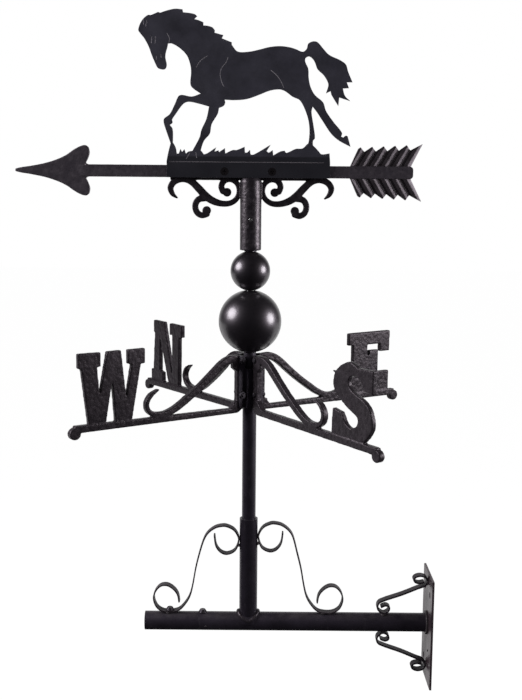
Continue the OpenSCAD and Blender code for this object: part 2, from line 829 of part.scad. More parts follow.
// Half of the scrolls with the bosses inside their curls
module scrolls_side() {
    boss_r = 5.5;
    round_band(sweep_path());
    translate([-31.8, -19.2]) circle(boss_r);
    round_band(drop_path());
    translate([-59, -43.5]) circle(boss_r);
}
module scroll_bracket() {
    slope = 4;
    rail_inset = 4;
    rail_lap = 3;
    web_h = 12;
    web_w = stem_d - 4;
    color("#262225")
    at_vane()
    difference() {
        union() {
            cylinder(h = stem_l - slope, r = stem_r);
            translate([0, 0, stem_l - slope]) cylinder(h = slope - SEAT, r1 = stem_r, r2 = stem_r - 2);
            translate([0, 0, sheet_z]) upright(shaft_t / 2 + rail_t + SEAT - casting_t, casting_t)
                difference() {
                    union() {
                        scrolls_side();
                        mirror([1, 0]) scrolls_side();
                    }
                    translate([-sheet_l, -SEAT]) square([2 * sheet_l, base_h]);
                }
            translate([sheet_left + rail_inset, rail_y, sheet_z - rail_lap])
                cube([sheet_l - 2 * rail_inset, rail_t, rail_h + rail_lap]);
            translate([-web_w / 2, rail_y, sheet_z - web_h]) cube([web_w, rail_t, web_h + JOIN]);
        }
        translate([0, 0, -1]) cylinder(h = pad_z + 1, r = bore_r);
        along_y(0, -stem_r - 1, keeper_z, stem_r, keeper_d / 2 + SEAT);
        for (x = screw_x)
            along_y(x, 0, shaft_mid, 2 * stem_r, sheet_screw_d / 2 + SEAT);
    }
}
// Hard disc above the bearing ball
module bearing_pad() {
    color("#8a898c")
    at_vane() translate([0, 0, pad_z - pad_t]) cylinder(h = pad_t - SEAT, r = bore_r - SEAT);
}
// Screw whose tip stands in the spindle's groove and keeps the vane on
module retaining_screw() {
    tip = spindle_r - keeper_groove + 2 * run_gap + SEAT;
    proud = 0.3;
    color("#8a898c")
    at_vane() along_y(0, -stem_r - proud, keeper_z, stem_r + proud - tip, keeper_d / 2);
}

// Arrow

function head_profile() =
    let (l = head_l / 96, h = head_h / 66)
    [
        [0, 1.8], [20 * l, 5.5 * h], [39 * l, 9.3 * h], [55 * l, 14.4 * h], [67 * l, 20 * h],
        [78 * l, 27.5 * h], [87 * l, 32 * h], [93 * l, 33 * h], [97 * l, 30 * h, CORNER],
        [98 * l, 23 * h], [95 * l, 14 * h], [93 * l, shaft_h / 2 + 2], [96 * l, shaft_h / 2, CORNER]
    ];
module arrow_head_half() {
    profile = head_profile();
    up = [for (p = profile) [p[0] - point_r, p[1], p[2] == undef ? 0 : p[2]]];
    down = [for (p = reversed(up)) [p[0], -p[1], p[2]]];
    inner = screw_x[0] + shaft_lap;
    color("#262225")
    at_vane()
    difference() {
        union() {
            translate([0, 0, shaft_mid]) upright(-head_t / 2, head_t)
                polygon(outline(concat(up, down)));
            translate([head_l - point_r - 3, front_y, shaft_mid - shaft_h / 2])
                cube([inner - head_l + point_r + 3, shaft_t, shaft_h]);
        }
        along_y(screw_x[0], -stem_r, shaft_mid, 2 * stem_r, sheet_screw_d / 2 + SEAT);
    }
}
// Side view of one flight: a row of pointed barb ends, the last one drawn out to the tail's tip
function flight_outline(root) =
    let (peak0 = root + 17, drop = 6, fall = 0.34)
    concat(
        [[root, 0], [root + 14, flight_h - 2]],
        [for (i = [0 : barbs - 2]) each [
            [peak0 + i * barb_pitch, flight_h + 0.8 * i],
            [peak0 + (i + fall) * barb_pitch, flight_h - drop + 0.6 * i]
        ]],
        [[tail_r - 1, flight_h + 5], [tail_r - 16, shaft_h / 2], [tail_r - 16, 0]]
    );
// Ridged vane: a zigzag section swept along the lean of the barbs
module flight(root) {
    lean = 60;
    wide = barb_pitch * sin(lean);
    half = flight_t / 2;
    thin = 0.8;
    crest = 0.68;
    first = -2;
    last = barbs + 2;
    near_edge = [for (i = [first : last]) each [[i * wide, -thin], [(i + crest) * wide, -half]]];
    far_edge = [for (i = [last : -1 : first]) each [[(i + crest) * wide, half], [i * wide, thin]]];
    intersection() {
        upright(-half - 1, flight_t + 2) polygon(flight_outline(root));
        translate([root, 0, 0])
            rotate([0, 90 - lean, 0])
                translate([0, 0, -3 * flight_h])
                    linear_extrude(6 * flight_h)
                        polygon(concat(near_edge, far_edge));
    }
}
module arrow_tail_half() {
    root = tail_r - 9 - barbs * barb_pitch;
    inner = screw_x[1] - shaft_lap;
    tip_r = 4;
    shaft_tip = tail_r - 13;
    color("#262225")
    at_vane()
    difference() {
        union() {
            translate([0, 0, shaft_mid])
                upright(front_y, shaft_t) {
                    translate([inner, -shaft_h / 2]) square([shaft_tip - tip_r - inner, shaft_h]);
                    translate([inner, tip_r - shaft_h / 2])
                        square([shaft_tip - inner, shaft_h - 2 * tip_r]);
                    for (side = [-1, 1])
                        translate([shaft_tip - tip_r, side * (shaft_h / 2 - tip_r)]) circle(tip_r);
                }
            translate([0, 0, shaft_mid]) flight(root);
            translate([0, 0, shaft_mid]) mirror([0, 0, 1]) flight(root);
        }
        along_y(screw_x[1], -stem_r, shaft_mid, 2 * stem_r, sheet_screw_d / 2 + SEAT);
    }
}

// Horse sheet, drawn from the mast's axis and the top of the sheet's base: stretches of one
// outline, clockwise from the forehead

HEAD = [
    [-147.5, 168], [-142.5, 180], [-135, 186.5], [-131, 186.5, CORNER], [-121.5, 190.5, CORNER],
    [-119, 189.5, CORNER], [-110, 192.5], [-99.5, 194.7], [-90, 194, CORNER]
];
MANE = [
    [-89.3, 190.3, CORNER], [-81, 189.5], [-74, 188], [-71, 185.5, CORNER], [-75, 182, CORNER],
    [-69, 180.5], [-63, 178, CORNER], [-63, 174, CORNER], [-57, 173.5], [-51, 171.5],
    [-48, 168, CORNER], [-48.5, 165, CORNER], [-37, 162, CORNER], [-39, 158, CORNER],
    [-26, 153, CORNER], [-26, 150, CORNER]
];
BACK = [
    [-18.5, 141.5], [-4.5, 141.2], [9.5, 144], [23.5, 147.5], [37.5, 148.7], [49.5, 147.3],
    [57.5, 145], [66.5, 141.7]
];
TAIL = [
    [71.5, 145.5], [73.5, 152], [79.5, 155], [85.5, 154], [93, 146], [101, 138], [115, 131.7],
    [123, 126], [126, 117], [132, 103.5, CORNER], [124.5, 103.5, CORNER], [127.5, 96, CORNER],
    [119.5, 95.5, CORNER], [122.5, 86], [129.5, 79.5, CORNER], [115, 84, CORNER],
    [114, 73, CORNER], [105, 87], [103.5, 92, CORNER], [97.5, 89, CORNER], [100.5, 99],
    [99.5, 104], [94.5, 112], [86, 120], [83, 127.5], [80, 132.5], [75, 136]
];
RUMP = [[70.3, 133.8], [70, 129], [74, 120], [74.7, 108.5], [77.5, 96.5], [83.3, 86.7]];
TRAILING_LEG = [
    [94, 77.5], [98, 66.5], [108, 52.5], [119.5, 38.5], [118.5, 33.5, CORNER],
    [121.5, 32.5, CORNER], [124.5, 35], [127, 34, CORNER], [131, 20.5, CORNER], [115.5, 28.5],
    [105.5, 37], [95.5, 51], [86, 65], [80.4, 72, CORNER]
];
STANDING_HIND_LEG = [
    [79, 65], [81.5, 49.5], [84, 31.5], [81.4, 27.5], [82, 18, CORNER], [73, 18, CORNER],
    [76, 28], [76.5, 45.5], [73, 61.5], [64, 79.5]
];
BELLY = [
    [54, 84.5], [44, 91.5], [36.5, 93.7], [24, 92], [10, 86.5], [-6, 81], [-22, 79.5],
    [-35, 80, CORNER], [-34.3, 76], [-36.5, 72], [-42.5, 69.3, CORNER]
];
STANDING_FORELEG = [
    [-44, 62], [-52, 48.5], [-54.5, 36], [-62, 27], [-66.5, 14], [-68, 4, CORNER],
    [-82, 4, CORNER], [-77.5, 13.5], [-68, 31], [-65.5, 41], [-59, 55], [-55.5, 71, CORNER]
];
RAISED_FORELEG = [
    [-68.5, 74.5], [-82.5, 77], [-89.5, 74], [-99, 61.5], [-104, 54], [-103.5, 50],
    [-107, 47, CORNER], [-103.5, 42], [-103, 28], [-103.5, 23, CORNER], [-106, 23, CORNER],
    [-112, 40], [-115, 50], [-114.5, 55], [-107, 61], [-100.5, 73.5], [-95.5, 84], [-91, 85.7],
    [-78, 83.7], [-66.5, 87.5, CORNER]
];
CHEST = [
    [-78, 95.5], [-80, 101], [-79, 114], [-80, 124], [-84.5, 136], [-94, 145.5], [-104, 151],
    [-109, 151, CORNER]
];
JAW = [
    [-110, 146], [-112, 139], [-112.5, 133], [-111, 126], [-111, 122], [-113, 118.5],
    [-117, 118], [-122, 119.5], [-124, 122], [-130, 135.5], [-134, 146.5], [-140, 157.5],
    [-144.2, 162.5]
];
// Grass along the base, drawn from the base's middle for a base of GRASS_GRID
GRASS_GRID = 216;
GRASS = [
    [-110, 8], [-107, 20], [-104.7, 27, CORNER], [-99.5, 18], [-98, 10, CORNER], [-95.5, 10, CORNER],
    [-93, 16, CORNER], [-91, 12, CORNER], [-88, 15.8, CORNER], [-86, 10, CORNER], [-82.5, 12.7],
    [-77.5, 13.6], [-66.5, 14.3], [-61.5, 9.3], [-46, 18.4, CORNER], [-48.3, 12.9, CORNER],
    [-43, 14.7, CORNER], [-42.3, 12.3, CORNER], [-34.5, 17.5, CORNER], [-34, 10.6, CORNER],
    [-24, 15.2], [-19, 15.2], [-8.5, 19.5, CORNER], [-8, 12, CORNER], [-5, 12, CORNER],
    [-1.3, 15.7, CORNER], [-0.3, 9.7], [4, 9.7], [26, 22.6, CORNER], [20.5, 14, CORNER],
    [23.5, 12, CORNER], [28.6, 15.5, CORNER], [29.3, 8.6, CORNER], [38.5, 13.7], [44.2, 14.8, CORNER],
    [46.7, 12], [59, 17.3], [68, 18], [76, 24.7], [83, 20.6], [89, 14.5], [93, 10.5]
];
// Shift of the grass as it is drawn
GRASS_SHIFT = 3.5;
HORSE_GRID = 195;
// Engraved lines: eye, nostrils, cheek, forelock, neck, shoulder, flank and hooves
ENGRAVED = [
    [[-130.3, 159.5], [-130.6, 151]],
    [[-125.4, 159.5], [-125.8, 151]],
    [[-124.2, 135.5], [-124.5, 130.5]],
    [[-118.2, 137.3], [-118.3, 132.8]],
    [[-110.5, 164.3], [-107, 156.7], [-108, 151.8]],
    [[-141, 181.5], [-140.6, 174]],
    [[-136.4, 180], [-138, 171.5]],
    [[-57.5, 136], [-66.7, 129.4], [-72.6, 120.8]],
    [[-31, 134.3], [-32.7, 128.6], [-39.4, 120], [-41, 111.2], [-38.6, 101.4], [-36, 96.5]],
    [[25, 118.4], [34.7, 109.4], [38.6, 103.5], [42.4, 95.5]],
    [[-80.7, 11.5], [-85.6, 3]],
    [[-73, 11.5], [-71.8, 4.5]]
];
module horse_side() {
    scale(horse_h / HORSE_GRID)
        polygon(outline(concat(HEAD, MANE, BACK, TAIL, RUMP, TRAILING_LEG, STANDING_HIND_LEG,
            BELLY, STANDING_FORELEG, RAISED_FORELEG, CHEST, JAW)));
}
module grass_side() {
    left = [[sheet_left, -base_h, CORNER], [sheet_left, 0, CORNER]];
    right = [[sheet_right - 1, 11.7, CORNER], [sheet_right, 0, CORNER], [sheet_right, -base_h, CORNER]];
    k = sheet_l / GRASS_GRID;
    grass = [for (p = GRASS) [sheet_shift + (p[0] + GRASS_SHIFT) * k, p[1], p[2] == undef ? 0 : p[2]]];
    polygon(outline(concat(left, grass, right)));
}
module horse_sheet() {
    k = horse_h / HORSE_GRID;
    groove = 2 * engrave_d;
    color("#1d1c20")
    at_vane()
    difference() {
        translate([0, 0, sheet_z + base_h]) upright(sheet_y, sheet_t) {
            horse_side();
            grass_side();
        }
        translate([0, 0, sheet_z + base_h]) upright(sheet_y - engrave_d, groove) {
            scale(k)
                for (mark = ENGRAVED)
                    band(with_width(mark, engrave_w));
            translate([sheet_left + 4, -engrave_w]) square([sheet_l - 12, engrave_w]);
        }
        for (x = screw_x) {
            along_y(x, sheet_y - 1, shaft_mid, sheet_t + 2, sheet_screw_d / 2 + SEAT);
            translate([x, sheet_y - SEAT, shaft_mid])
                rotate([-90, 0, 0])
                    cylinder(h = sheet_head_depth, r1 = sheet_head_d / 2, r2 = sheet_screw_d / 2);
        }
    }
}
// Countersunk screws through the sheet, the arrow's shaft and the rail
module sheet_screws() {
    head_r = sheet_head_d / 2 - 2 * SEAT;
    thread_r = sheet_screw_d / 2 - SEAT / 2;
    length = sheet_t + shaft_t + rail_t + sheet_nut_h + 3;
    cross = [sheet_head_d * 0.5, 1.2];
    color("#3a383b")
    at_vane()
    for (x = screw_x)
        translate([x, sheet_y - SEAT, shaft_mid])
            rotate([-90, 0, 0])
                difference() {
                    union() {
                        cylinder(h = sheet_head_depth, r1 = head_r, r2 = thread_r);
                        cylinder(h = length, r = thread_r);
                    }
                    for (turn = [0, 90])
                        rotate([0, 0, turn])
                            translate([-cross[0] / 2, -cross[1] / 2, -1]) cube([cross[0], cross[1], 2]);
                }
}
module sheet_nuts() {
    color("#3a383b")
    at_vane()
    for (x = screw_x)
        translate([x, rail_y + rail_t + SEAT, shaft_mid])
            rotate([-90, 0, 0])
                difference() {
                    hexagon_head(sheet_nut_w, sheet_nut_h);
                    translate([0, 0, -1]) cylinder(h = sheet_nut_h + 2, r = sheet_screw_d / 2);
                }
}

wall_plate();
bracket_tube();
tube_end_disc();
mast_sleeve();
left_scroll();
right_scroll();
upper_wall_scroll();
lower_wall_scroll();
scroll_bolt();
tube_bolt();
sleeve_clamp_screw();
mast_tube();
mast_plug();
hub();
north_arm();
east_arm();
south_arm();
west_arm();
arm_screws();
arm_nuts();
spindle();
lower_spacer();
large_ball();
small_ball();
neck_spacer();
bearing_ball();
scroll_bracket();
bearing_pad();
retaining_screw();
arrow_head_half();
arrow_tail_half();
horse_sheet();
sheet_screws();
sheet_nuts();
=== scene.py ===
"""Dresses the horse weathervane: its finishes, welds, balls and threads, with the studio round it."""

import logging
import math
from dataclasses import dataclass
from enum import Enum, IntEnum
from functools import cached_property
from typing import ClassVar

import bmesh
import bpy
from mathutils import Matrix, Vector


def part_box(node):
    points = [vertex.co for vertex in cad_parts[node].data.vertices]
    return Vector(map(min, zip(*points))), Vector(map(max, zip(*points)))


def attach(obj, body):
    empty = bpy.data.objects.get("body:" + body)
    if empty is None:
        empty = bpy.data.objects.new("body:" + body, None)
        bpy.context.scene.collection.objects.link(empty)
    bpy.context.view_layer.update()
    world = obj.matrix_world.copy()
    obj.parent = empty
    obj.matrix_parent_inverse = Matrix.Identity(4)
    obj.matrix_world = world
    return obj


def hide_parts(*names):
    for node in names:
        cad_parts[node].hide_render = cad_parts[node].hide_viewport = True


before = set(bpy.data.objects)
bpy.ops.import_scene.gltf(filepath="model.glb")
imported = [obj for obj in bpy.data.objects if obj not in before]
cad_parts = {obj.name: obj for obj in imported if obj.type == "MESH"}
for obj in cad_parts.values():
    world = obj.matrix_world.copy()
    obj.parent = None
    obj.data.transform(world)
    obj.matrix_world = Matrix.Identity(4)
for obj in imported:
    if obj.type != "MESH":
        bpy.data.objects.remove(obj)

LOG = logging.getLogger("weathervane")
MM = 0.001
# Points closer than this are one
MERGE = 0.01 * MM
# Roughness of the glossier layer over a coat
VARNISH_ROUGH = 0.2
Colour = tuple[float, float, float]
Place = tuple[float, float, float]
Span = tuple[float, float]
Socket = bpy.types.NodeSocket


class Slot(Enum):
    """The record's material slots."""

    PLATE = "plate_black"
    TUBE = "tube_black"
    STRIP = "strip_black"
    CAST = "cast_black"
    BALL = "ball_black"
    SHEET = "sheet_black"
    FIXING = "fixing_black"
    STEEL = "bare_steel"


class Body(Enum):
    """The bodies that a piece can ride on."""

    BRACKET = "bracket"
    MAST = "mast"
    VANE = "vane"


class EdgedFinish(IntEnum):
    """Places of the finishes in the materials of a rounded piece, of which one has lines."""

    FACE = 0
    EDGE = 1
    LINE = 2
    DIM_LINE = 3


class TailFinish(IntEnum):
    """Places of the finishes in the materials of the arrow's tail."""

    SHAFT = 0
    BARB = 1
    # A highlight painted on a barb's back
    PAINTED_HIGHLIGHT = 2
    # Shade painted in a barb's furrow
    FURROW = 3


def scaled(colour: Colour, factor: float) -> Colour:
    """Makes a colour darker or lighter."""
    return tuple(factor * part for part in colour)


@dataclass(frozen=True)
class Pattern:
    """A noise pattern that is fixed to the piece.

    Attributes:
        scale: Waves per metre.
        detail: Number of octaves.
        rough: Share of the finer octaves.
        stretch: Scale along each axis, for brushed or rolled patterns.
        start: Value below which it doesn't show.
        end: Value from which it shows fully.
    """

    scale: float
    detail: float
    rough: float = 0.5
    stretch: Place = (1.0, 1.0, 1.0)
    start: float = 0.3
    end: float = 0.7


class Graph:
    """The node tree of a material or of the world, filled by short calls.

    Attributes:
        owner: The material or world.
        tree: Its node tree.
        coordinates: The node that gives places on the piece, or directions in the world.
    """

    def __init__(self, owner: bpy.types.Material | bpy.types.World) -> None:
        """Empties the owner's node tree.

        Args:
            owner: The new material or world.
        """
        owner.use_nodes = True
        self.owner = owner
        self.tree = owner.node_tree
        self.tree.nodes.clear()
        self.coordinates = self.add("ShaderNodeTexCoord")

    def add(self, kind: str, **settings: object) -> bpy.types.Node:
        """Adds a node.

        Args:
            kind: The node's type.
            settings: Values of the node's own properties.

        Returns:
            The new node.
        """
        node = self.tree.nodes.new(kind)
        for key, value in settings.items():
            setattr(node, key, value)
        return node

    def feed(self, value: float | Colour | Socket, node: bpy.types.Node, socket: str | int) -> None:
        """Gives a node's input its value.

        Args:
            value: A number, a colour or another node's output.
            node: The node.
            socket: Name or number of its input.
        """
        if isinstance(value, Socket):
            self.tree.links.new(value, node.inputs[socket])
        elif isinstance(value, tuple):
            node.inputs[socket].default_value = (*value, 1.0)
        else:
            node.inputs[socket].default_value = value

    def noise(self, pattern: Pattern) -> Socket:
        """Adds a noise pattern.

        Args:
            pattern: The pattern.

        Returns:
            Its value.
        """
        mapping = self.add("ShaderNodeMapping")
        mapping.inputs["Scale"].default_value = pattern.stretch
        self.feed(self.coordinates.outputs["Object"], mapping, "Vector")
        noise = self.add("ShaderNodeTexNoise")
        self.feed(pattern.scale, noise, "Scale")
        self.feed(pattern.detail, noise, "Detail")
        self.feed(pattern.rough, noise, "Roughness")
        self.feed(mapping.outputs["Vector"], noise, "Vector")
        return noise.outputs["Fac"]

    def cells(self, scale: float, softness: float) -> Socket:
        """Adds a cell pattern whose value is lowest at scattered points.

        Args:
            scale: Cells per metre.
            softness: How softly one cell runs into the next, from 0 to 1.

        Returns:
            The distance to the nearest point.
        """
        cells = self.add("ShaderNodeTexVoronoi", feature="SMOOTH_F1")
        self.feed(scale, cells, "Scale")
        self.feed(softness, cells, "Smoothness")
        self.feed(self.coordinates.outputs["Object"], cells, "Vector")
        return cells.outputs["Distance"]

    def spread(self, value: Socket, low: float, high: float,
               start: float = Pattern.start, end: float = Pattern.end) -> Socket:
        """Maps a value to a range.

        Args:
            value: The value.
            low: Result at start.
            high: Result at end.
            start: The value that gives low.
            end: The value that gives high.

        Returns:
            The mapped value.
        """
        ranged = self.add("ShaderNodeMapRange")
        self.feed(start, ranged, "From Min")
        self.feed(end, ranged, "From Max")
        self.feed(low, ranged, "To Min")
        self.feed(high, ranged, "To Max")
        self.feed(value, ranged, "Value")
        return ranged.outputs["Result"]

    def shown(self, pattern: Pattern, low: float, high: float) -> Socket:
        """Adds a noise pattern that gives low where it doesn't show and high where it does."""
        return self.spread(self.noise(pattern), low, high, pattern.start, pattern.end)

    def blend(self, factor: Socket, low: Colour | Socket, high: Colour | Socket) -> Socket:
        """Mixes two colours. Their sockets share one name with others, so they go by number.

        Args:
            factor: 0 gives low and 1 gives high.
            low: A colour or an output.
            high: A colour or an output.

        Returns:
            The mixed colour.
        """
        mix = self.add("ShaderNodeMix", data_type="RGBA")
        self.feed(factor, mix, 0)
        self.feed(low, mix, 6)
        self.feed(high, mix, 7)
        return mix.outputs[2]

    def between(self, factor: Socket, low: float | Socket, high: float | Socket) -> Socket:
        """Mixes two values. Their sockets share one name with others, so they go by number.

        Args:
            factor: 0 gives low and 1 gives high.
            low: A number or an output.
            high: A number or an output.

        Returns:
            The mixed value.
        """
        mix = self.add("ShaderNodeMix")
        self.feed(factor, mix, 0)
        self.feed(low, mix, 2)
        self.feed(high, mix, 3)
        return mix.outputs[0]

    def combine(self, operation: str, first: Socket, second: Socket) -> Socket:
        """Works out one value from two.

        Args:
            operation: What the Math node does with them.
            first: The first value.
            second: The second value.

        Returns:
            The result.
        """
        result = self.add("ShaderNodeMath", operation=operation)
        self.feed(first, result, 0)
        self.feed(second, result, 1)
        return result.outputs[0]

    def bump(self, height: Socket, depth: float, strength: float = 1.0,
             below: Socket | None = None) -> Socket:
        """Adds relief.

        Args:
            height: The pattern that gives the relief.
            depth: The relief's height in metres.
            strength: Share of it that shows.
            below: Normal that it is laid over.

        Returns:
            The bumped normal.
        """
        bump = self.add("ShaderNodeBump")
        self.feed(depth, bump, "Distance")
        self.feed(strength, bump, "Strength")
        self.feed(height, bump, "Height")
        if below is not None:
            self.feed(below, bump, "Normal")
        return bump.outputs["Normal"]

    def part(self, vector: Socket, axis: str) -> Socket:
        """Takes one part out of a vector.

        Args:
            vector: The vector.
            axis: X, Y or Z.

        Returns:
            The part along that axis.
        """
        split = self.add("ShaderNodeSeparateXYZ")
        self.feed(vector, split, 0)
        return split.outputs[axis]

    def rays(self, *kinds: str) -> Socket:
        """Tells rays of the named kinds from others.

        Args:
            kinds: Outputs of the Light Path node.

        Returns:
            1 for rays of these kinds and 0 for others.
        """
        path = self.add("ShaderNodeLightPath")
        total = path.outputs[kinds[0]]
        for kind in kinds[1:]:
            total = self.combine("MAXIMUM", total, path.outputs[kind])
        return total

    def finish(self, surface: Socket, kind: str = "ShaderNodeOutputMaterial") -> None:
        """Ends the tree in an output node of a kind."""
        self.feed(surface, self.add(kind), "Surface")

    def shader(self, colour: Socket, roughness: Socket, normal: Socket, metallic: float, specular: float,
               tint: Colour = (1.0, 1.0, 1.0), varnish: float = 0.0) -> bpy.types.Material:
        """Ends the tree in a surface.

        Args:
            colour: Base colour.
            roughness: Roughness.
            normal: Bumped normal.
            metallic: 1 for bare metal and 0 for paint.
            specular: Level of the paint's reflection.
            tint: Colour of that reflection.
            varnish: Weight of a glossier layer on top.

        Returns:
            The finished material.
        """
        surface = self.add("ShaderNodeBsdfPrincipled")
        inputs = {"Base Color": colour, "Roughness": roughness, "Normal": normal, "Metallic": metallic,
                  "Specular IOR Level": specular, "Specular Tint": tint, "Coat Weight": varnish,
                  "Coat Roughness": VARNISH_ROUGH}
        for socket, value in inputs.items():
            self.feed(value, surface, socket)
        self.finish(surface.outputs["BSDF"])
        return self.owner


@dataclass(frozen=True)
class Coat:
    """Black powder coat with orange peel, scuffs and a little dust on what looks up.

    Attributes:
        name: The material's name.
        shade: The coat's colour.
        rough: Least and most roughness.
        peel: Waves of the orange peel per metre.
        depth: Height of the orange peel.
        scuff: Colour of the scuffs.
        scuffed: Share of the surface that is scuffed.
        dust: Share of dust on faces that look up.
        specular: Level of reflection.
        tint: Colour of the reflection.
        foot: Height below which the coat is darker, or None.
        wave: Height of the long waves.
        varnish: Weight of a glossier layer on top.
        tones: Pattern of darker and lighter places.
        tone_range: Their shade as shares of the coat's.
        marks: Pattern of the scuffs, drawn out along Z.
        mark_gain: What the share of scuffs is multiplied by.
        settling: Pattern of the dust.
        dust_shade: Colour of the dust.
        upward: Height of the normal from which dust settles, and at which most of it lies.
        foot_share: Shade below the foot's height as a share of the coat's.
        foot_blur: Half height of the passage to it.
        clouds: Pattern of the roughness.
        peel_detail: Number of octaves of the orange peel.
        waves: Pattern of the long waves.
    """

    name: str
    shade: Colour = (0.012, 0.0112, 0.0145)
    rough: Span = (0.32, 0.46)
    peel: float = 420.0
    depth: float = 0.06 * MM
    scuff: Colour = (0.075, 0.068, 0.074)
    scuffed: float = 0.10
    dust: float = 0.16
    specular: float = 0.5
    tint: Colour = (0.92, 0.82, 1.0)
    foot: float | None = None
    wave: float = 0.1 * MM
    varnish: float = 0.0
    tones: ClassVar[Pattern] = Pattern(38.0, 6.0, 0.6)
    tone_range: ClassVar[Span] = (0.72, 1.5)
    marks: ClassVar[Pattern] = Pattern(150.0, 7.0, 0.72, (1.0, 1.0, 0.22), start=0.60, end=0.76)
    mark_gain: ClassVar[float] = 4.0
    settling: ClassVar[Pattern] = Pattern(90.0, 5.0)
    dust_shade: ClassVar[Colour] = (0.16, 0.145, 0.14)
    upward: ClassVar[Span] = (0.35, 1.0)
    foot_share: ClassVar[float] = 0.39
    foot_blur: ClassVar[float] = 1 * MM
    clouds: ClassVar[Pattern] = Pattern(24.0, 4.0)
    peel_detail: ClassVar[float] = 3.0
    waves: ClassVar[Pattern] = Pattern(60.0, 3.0)

    def material(self) -> bpy.types.Material:
        """Builds the material.

        Returns:
            The material.
        """
        graph = Graph(bpy.data.materials.new(self.name))
        dark, light = (scaled(self.shade, share) for share in self.tone_range)
        colour = graph.blend(graph.shown(self.tones, 0.0, 1.0), dark, light)
        worn = graph.shown(self.marks, 0.0, self.scuffed * self.mark_gain)
        colour = graph.blend(worn, colour, self.scuff)
        facing = graph.part(graph.add("ShaderNodeNewGeometry").outputs["Normal"], "Z")
        facing = graph.spread(facing, 0.0, 1.0, *self.upward)
        settled = graph.combine("MULTIPLY", facing, graph.shown(self.settling, 0.0, self.dust))
        colour = graph.blend(settled, colour, self.dust_shade)
        if self.foot is not None:
            height = graph.part(graph.coordinates.outputs["Object"], "Z")
            below = graph.spread(height, 1.0, 0.0, self.foot - self.foot_blur, self.foot + self.foot_blur)
            colour = graph.blend(below, colour, scaled(self.shade, self.foot_share))
        normal = graph.bump(graph.noise(Pattern(self.peel, self.peel_detail)), self.depth)
        normal = graph.bump(graph.noise(self.waves), self.wave, below=normal)
        rough = graph.shown(self.clouds, *self.rough)
        return graph.shader(colour, rough, normal, metallic=0.0, specular=self.specular, tint=self.tint,
                            varnish=self.varnish)


@dataclass(frozen=True)
class Casting:
    """Sand-cast iron under thin black paint: lumps, grain and pits with a brownish grey bloom.

    Attributes:
        name: The material's name.
        shade: Colour in the hollows.
        bloom: Colour on the high places.
        rough: Least and most roughness.
        grain: Depth of the grain.
        lump: Depth of the lumps.
        specular: Level of reflection.
        tint: Colour of the reflection.
        patches: Pattern of the bloom.
        patch_share: How much of the bloom's colour they take.
        lumps: Pattern of the lumps, which gives the flecks of bloom too.
        fleck_share: How much of the bloom's colour the flecks take.
        grains: Pattern of the grain.
        pits: Pits per metre.
        pit_softness: How softly one pit runs into the next.
        pit_range: Distances from a pit's middle, in cells, between which it fades.
        pit_shade: Shade of the pits as a share of the hollows'.
        pit_share: How much of that shade they take.
        pit_depth: Depth of the pits as a share of the lumps'.
        relief: Share of the lumps' and the grain's relief that shows.
        pit_relief: Share of the pits' relief that shows.
    """

    name: str
    shade: Colour = (0.0110, 0.0089, 0.0110)
    bloom: Colour = (0.0242, 0.0196, 0.0242)
    rough: Span = (0.34, 0.44)
    grain: float = 0.10 * MM
    lump: float = 0.9 * MM
    specular: float = 0.2
    tint: Colour = (1.0, 0.86, 0.98)
    patches: ClassVar[Pattern] = Pattern(46.0, 5.0, 0.6, start=0.38, end=0.72)
    patch_share: ClassVar[float] = 0.55
    lumps: ClassVar[Pattern] = Pattern(170.0, 2.0, 0.45, start=0.45, end=0.70)
    fleck_share: ClassVar[float] = 0.5
    grains: ClassVar[Pattern] = Pattern(520.0, 4.0, 0.55)
    pits: ClassVar[float] = 200.0
    pit_softness: ClassVar[float] = 0.6
    pit_range: ClassVar[Span] = (0.05, 0.28)
    pit_shade: ClassVar[float] = 0.4
    pit_share: ClassVar[float] = 0.5
    pit_depth: ClassVar[float] = 0.3
    relief: ClassVar[float] = 0.8
    pit_relief: ClassVar[float] = 0.6

    def material(self) -> bpy.types.Material:
        """Builds the material.

        Returns:
            The material.
        """
        graph = Graph(bpy.data.materials.new(self.name))
        lumps = graph.noise(self.lumps)
        pits = graph.cells(self.pits, self.pit_softness)
        colour = graph.blend(graph.shown(self.patches, 0.0, self.patch_share), self.shade, self.bloom)
        flecks = graph.spread(lumps, 0.0, self.fleck_share, self.lumps.start, self.lumps.end)
        colour = graph.blend(flecks, colour, self.bloom)
        pitted = graph.spread(pits, self.pit_share, 0.0, *self.pit_range)
        colour = graph.blend(pitted, colour, scaled(self.shade, self.pit_shade))
        normal = graph.bump(lumps, self.lump, self.relief)
        normal = graph.bump(pits, self.lump * self.pit_depth, self.pit_relief, normal)
        normal = graph.bump(graph.noise(self.grains), self.grain, self.relief, normal)
        rough = graph.spread(lumps, *self.rough)
        return graph.shader(colour, rough, normal, metallic=0.0, specular=self.specular, tint=self.tint)


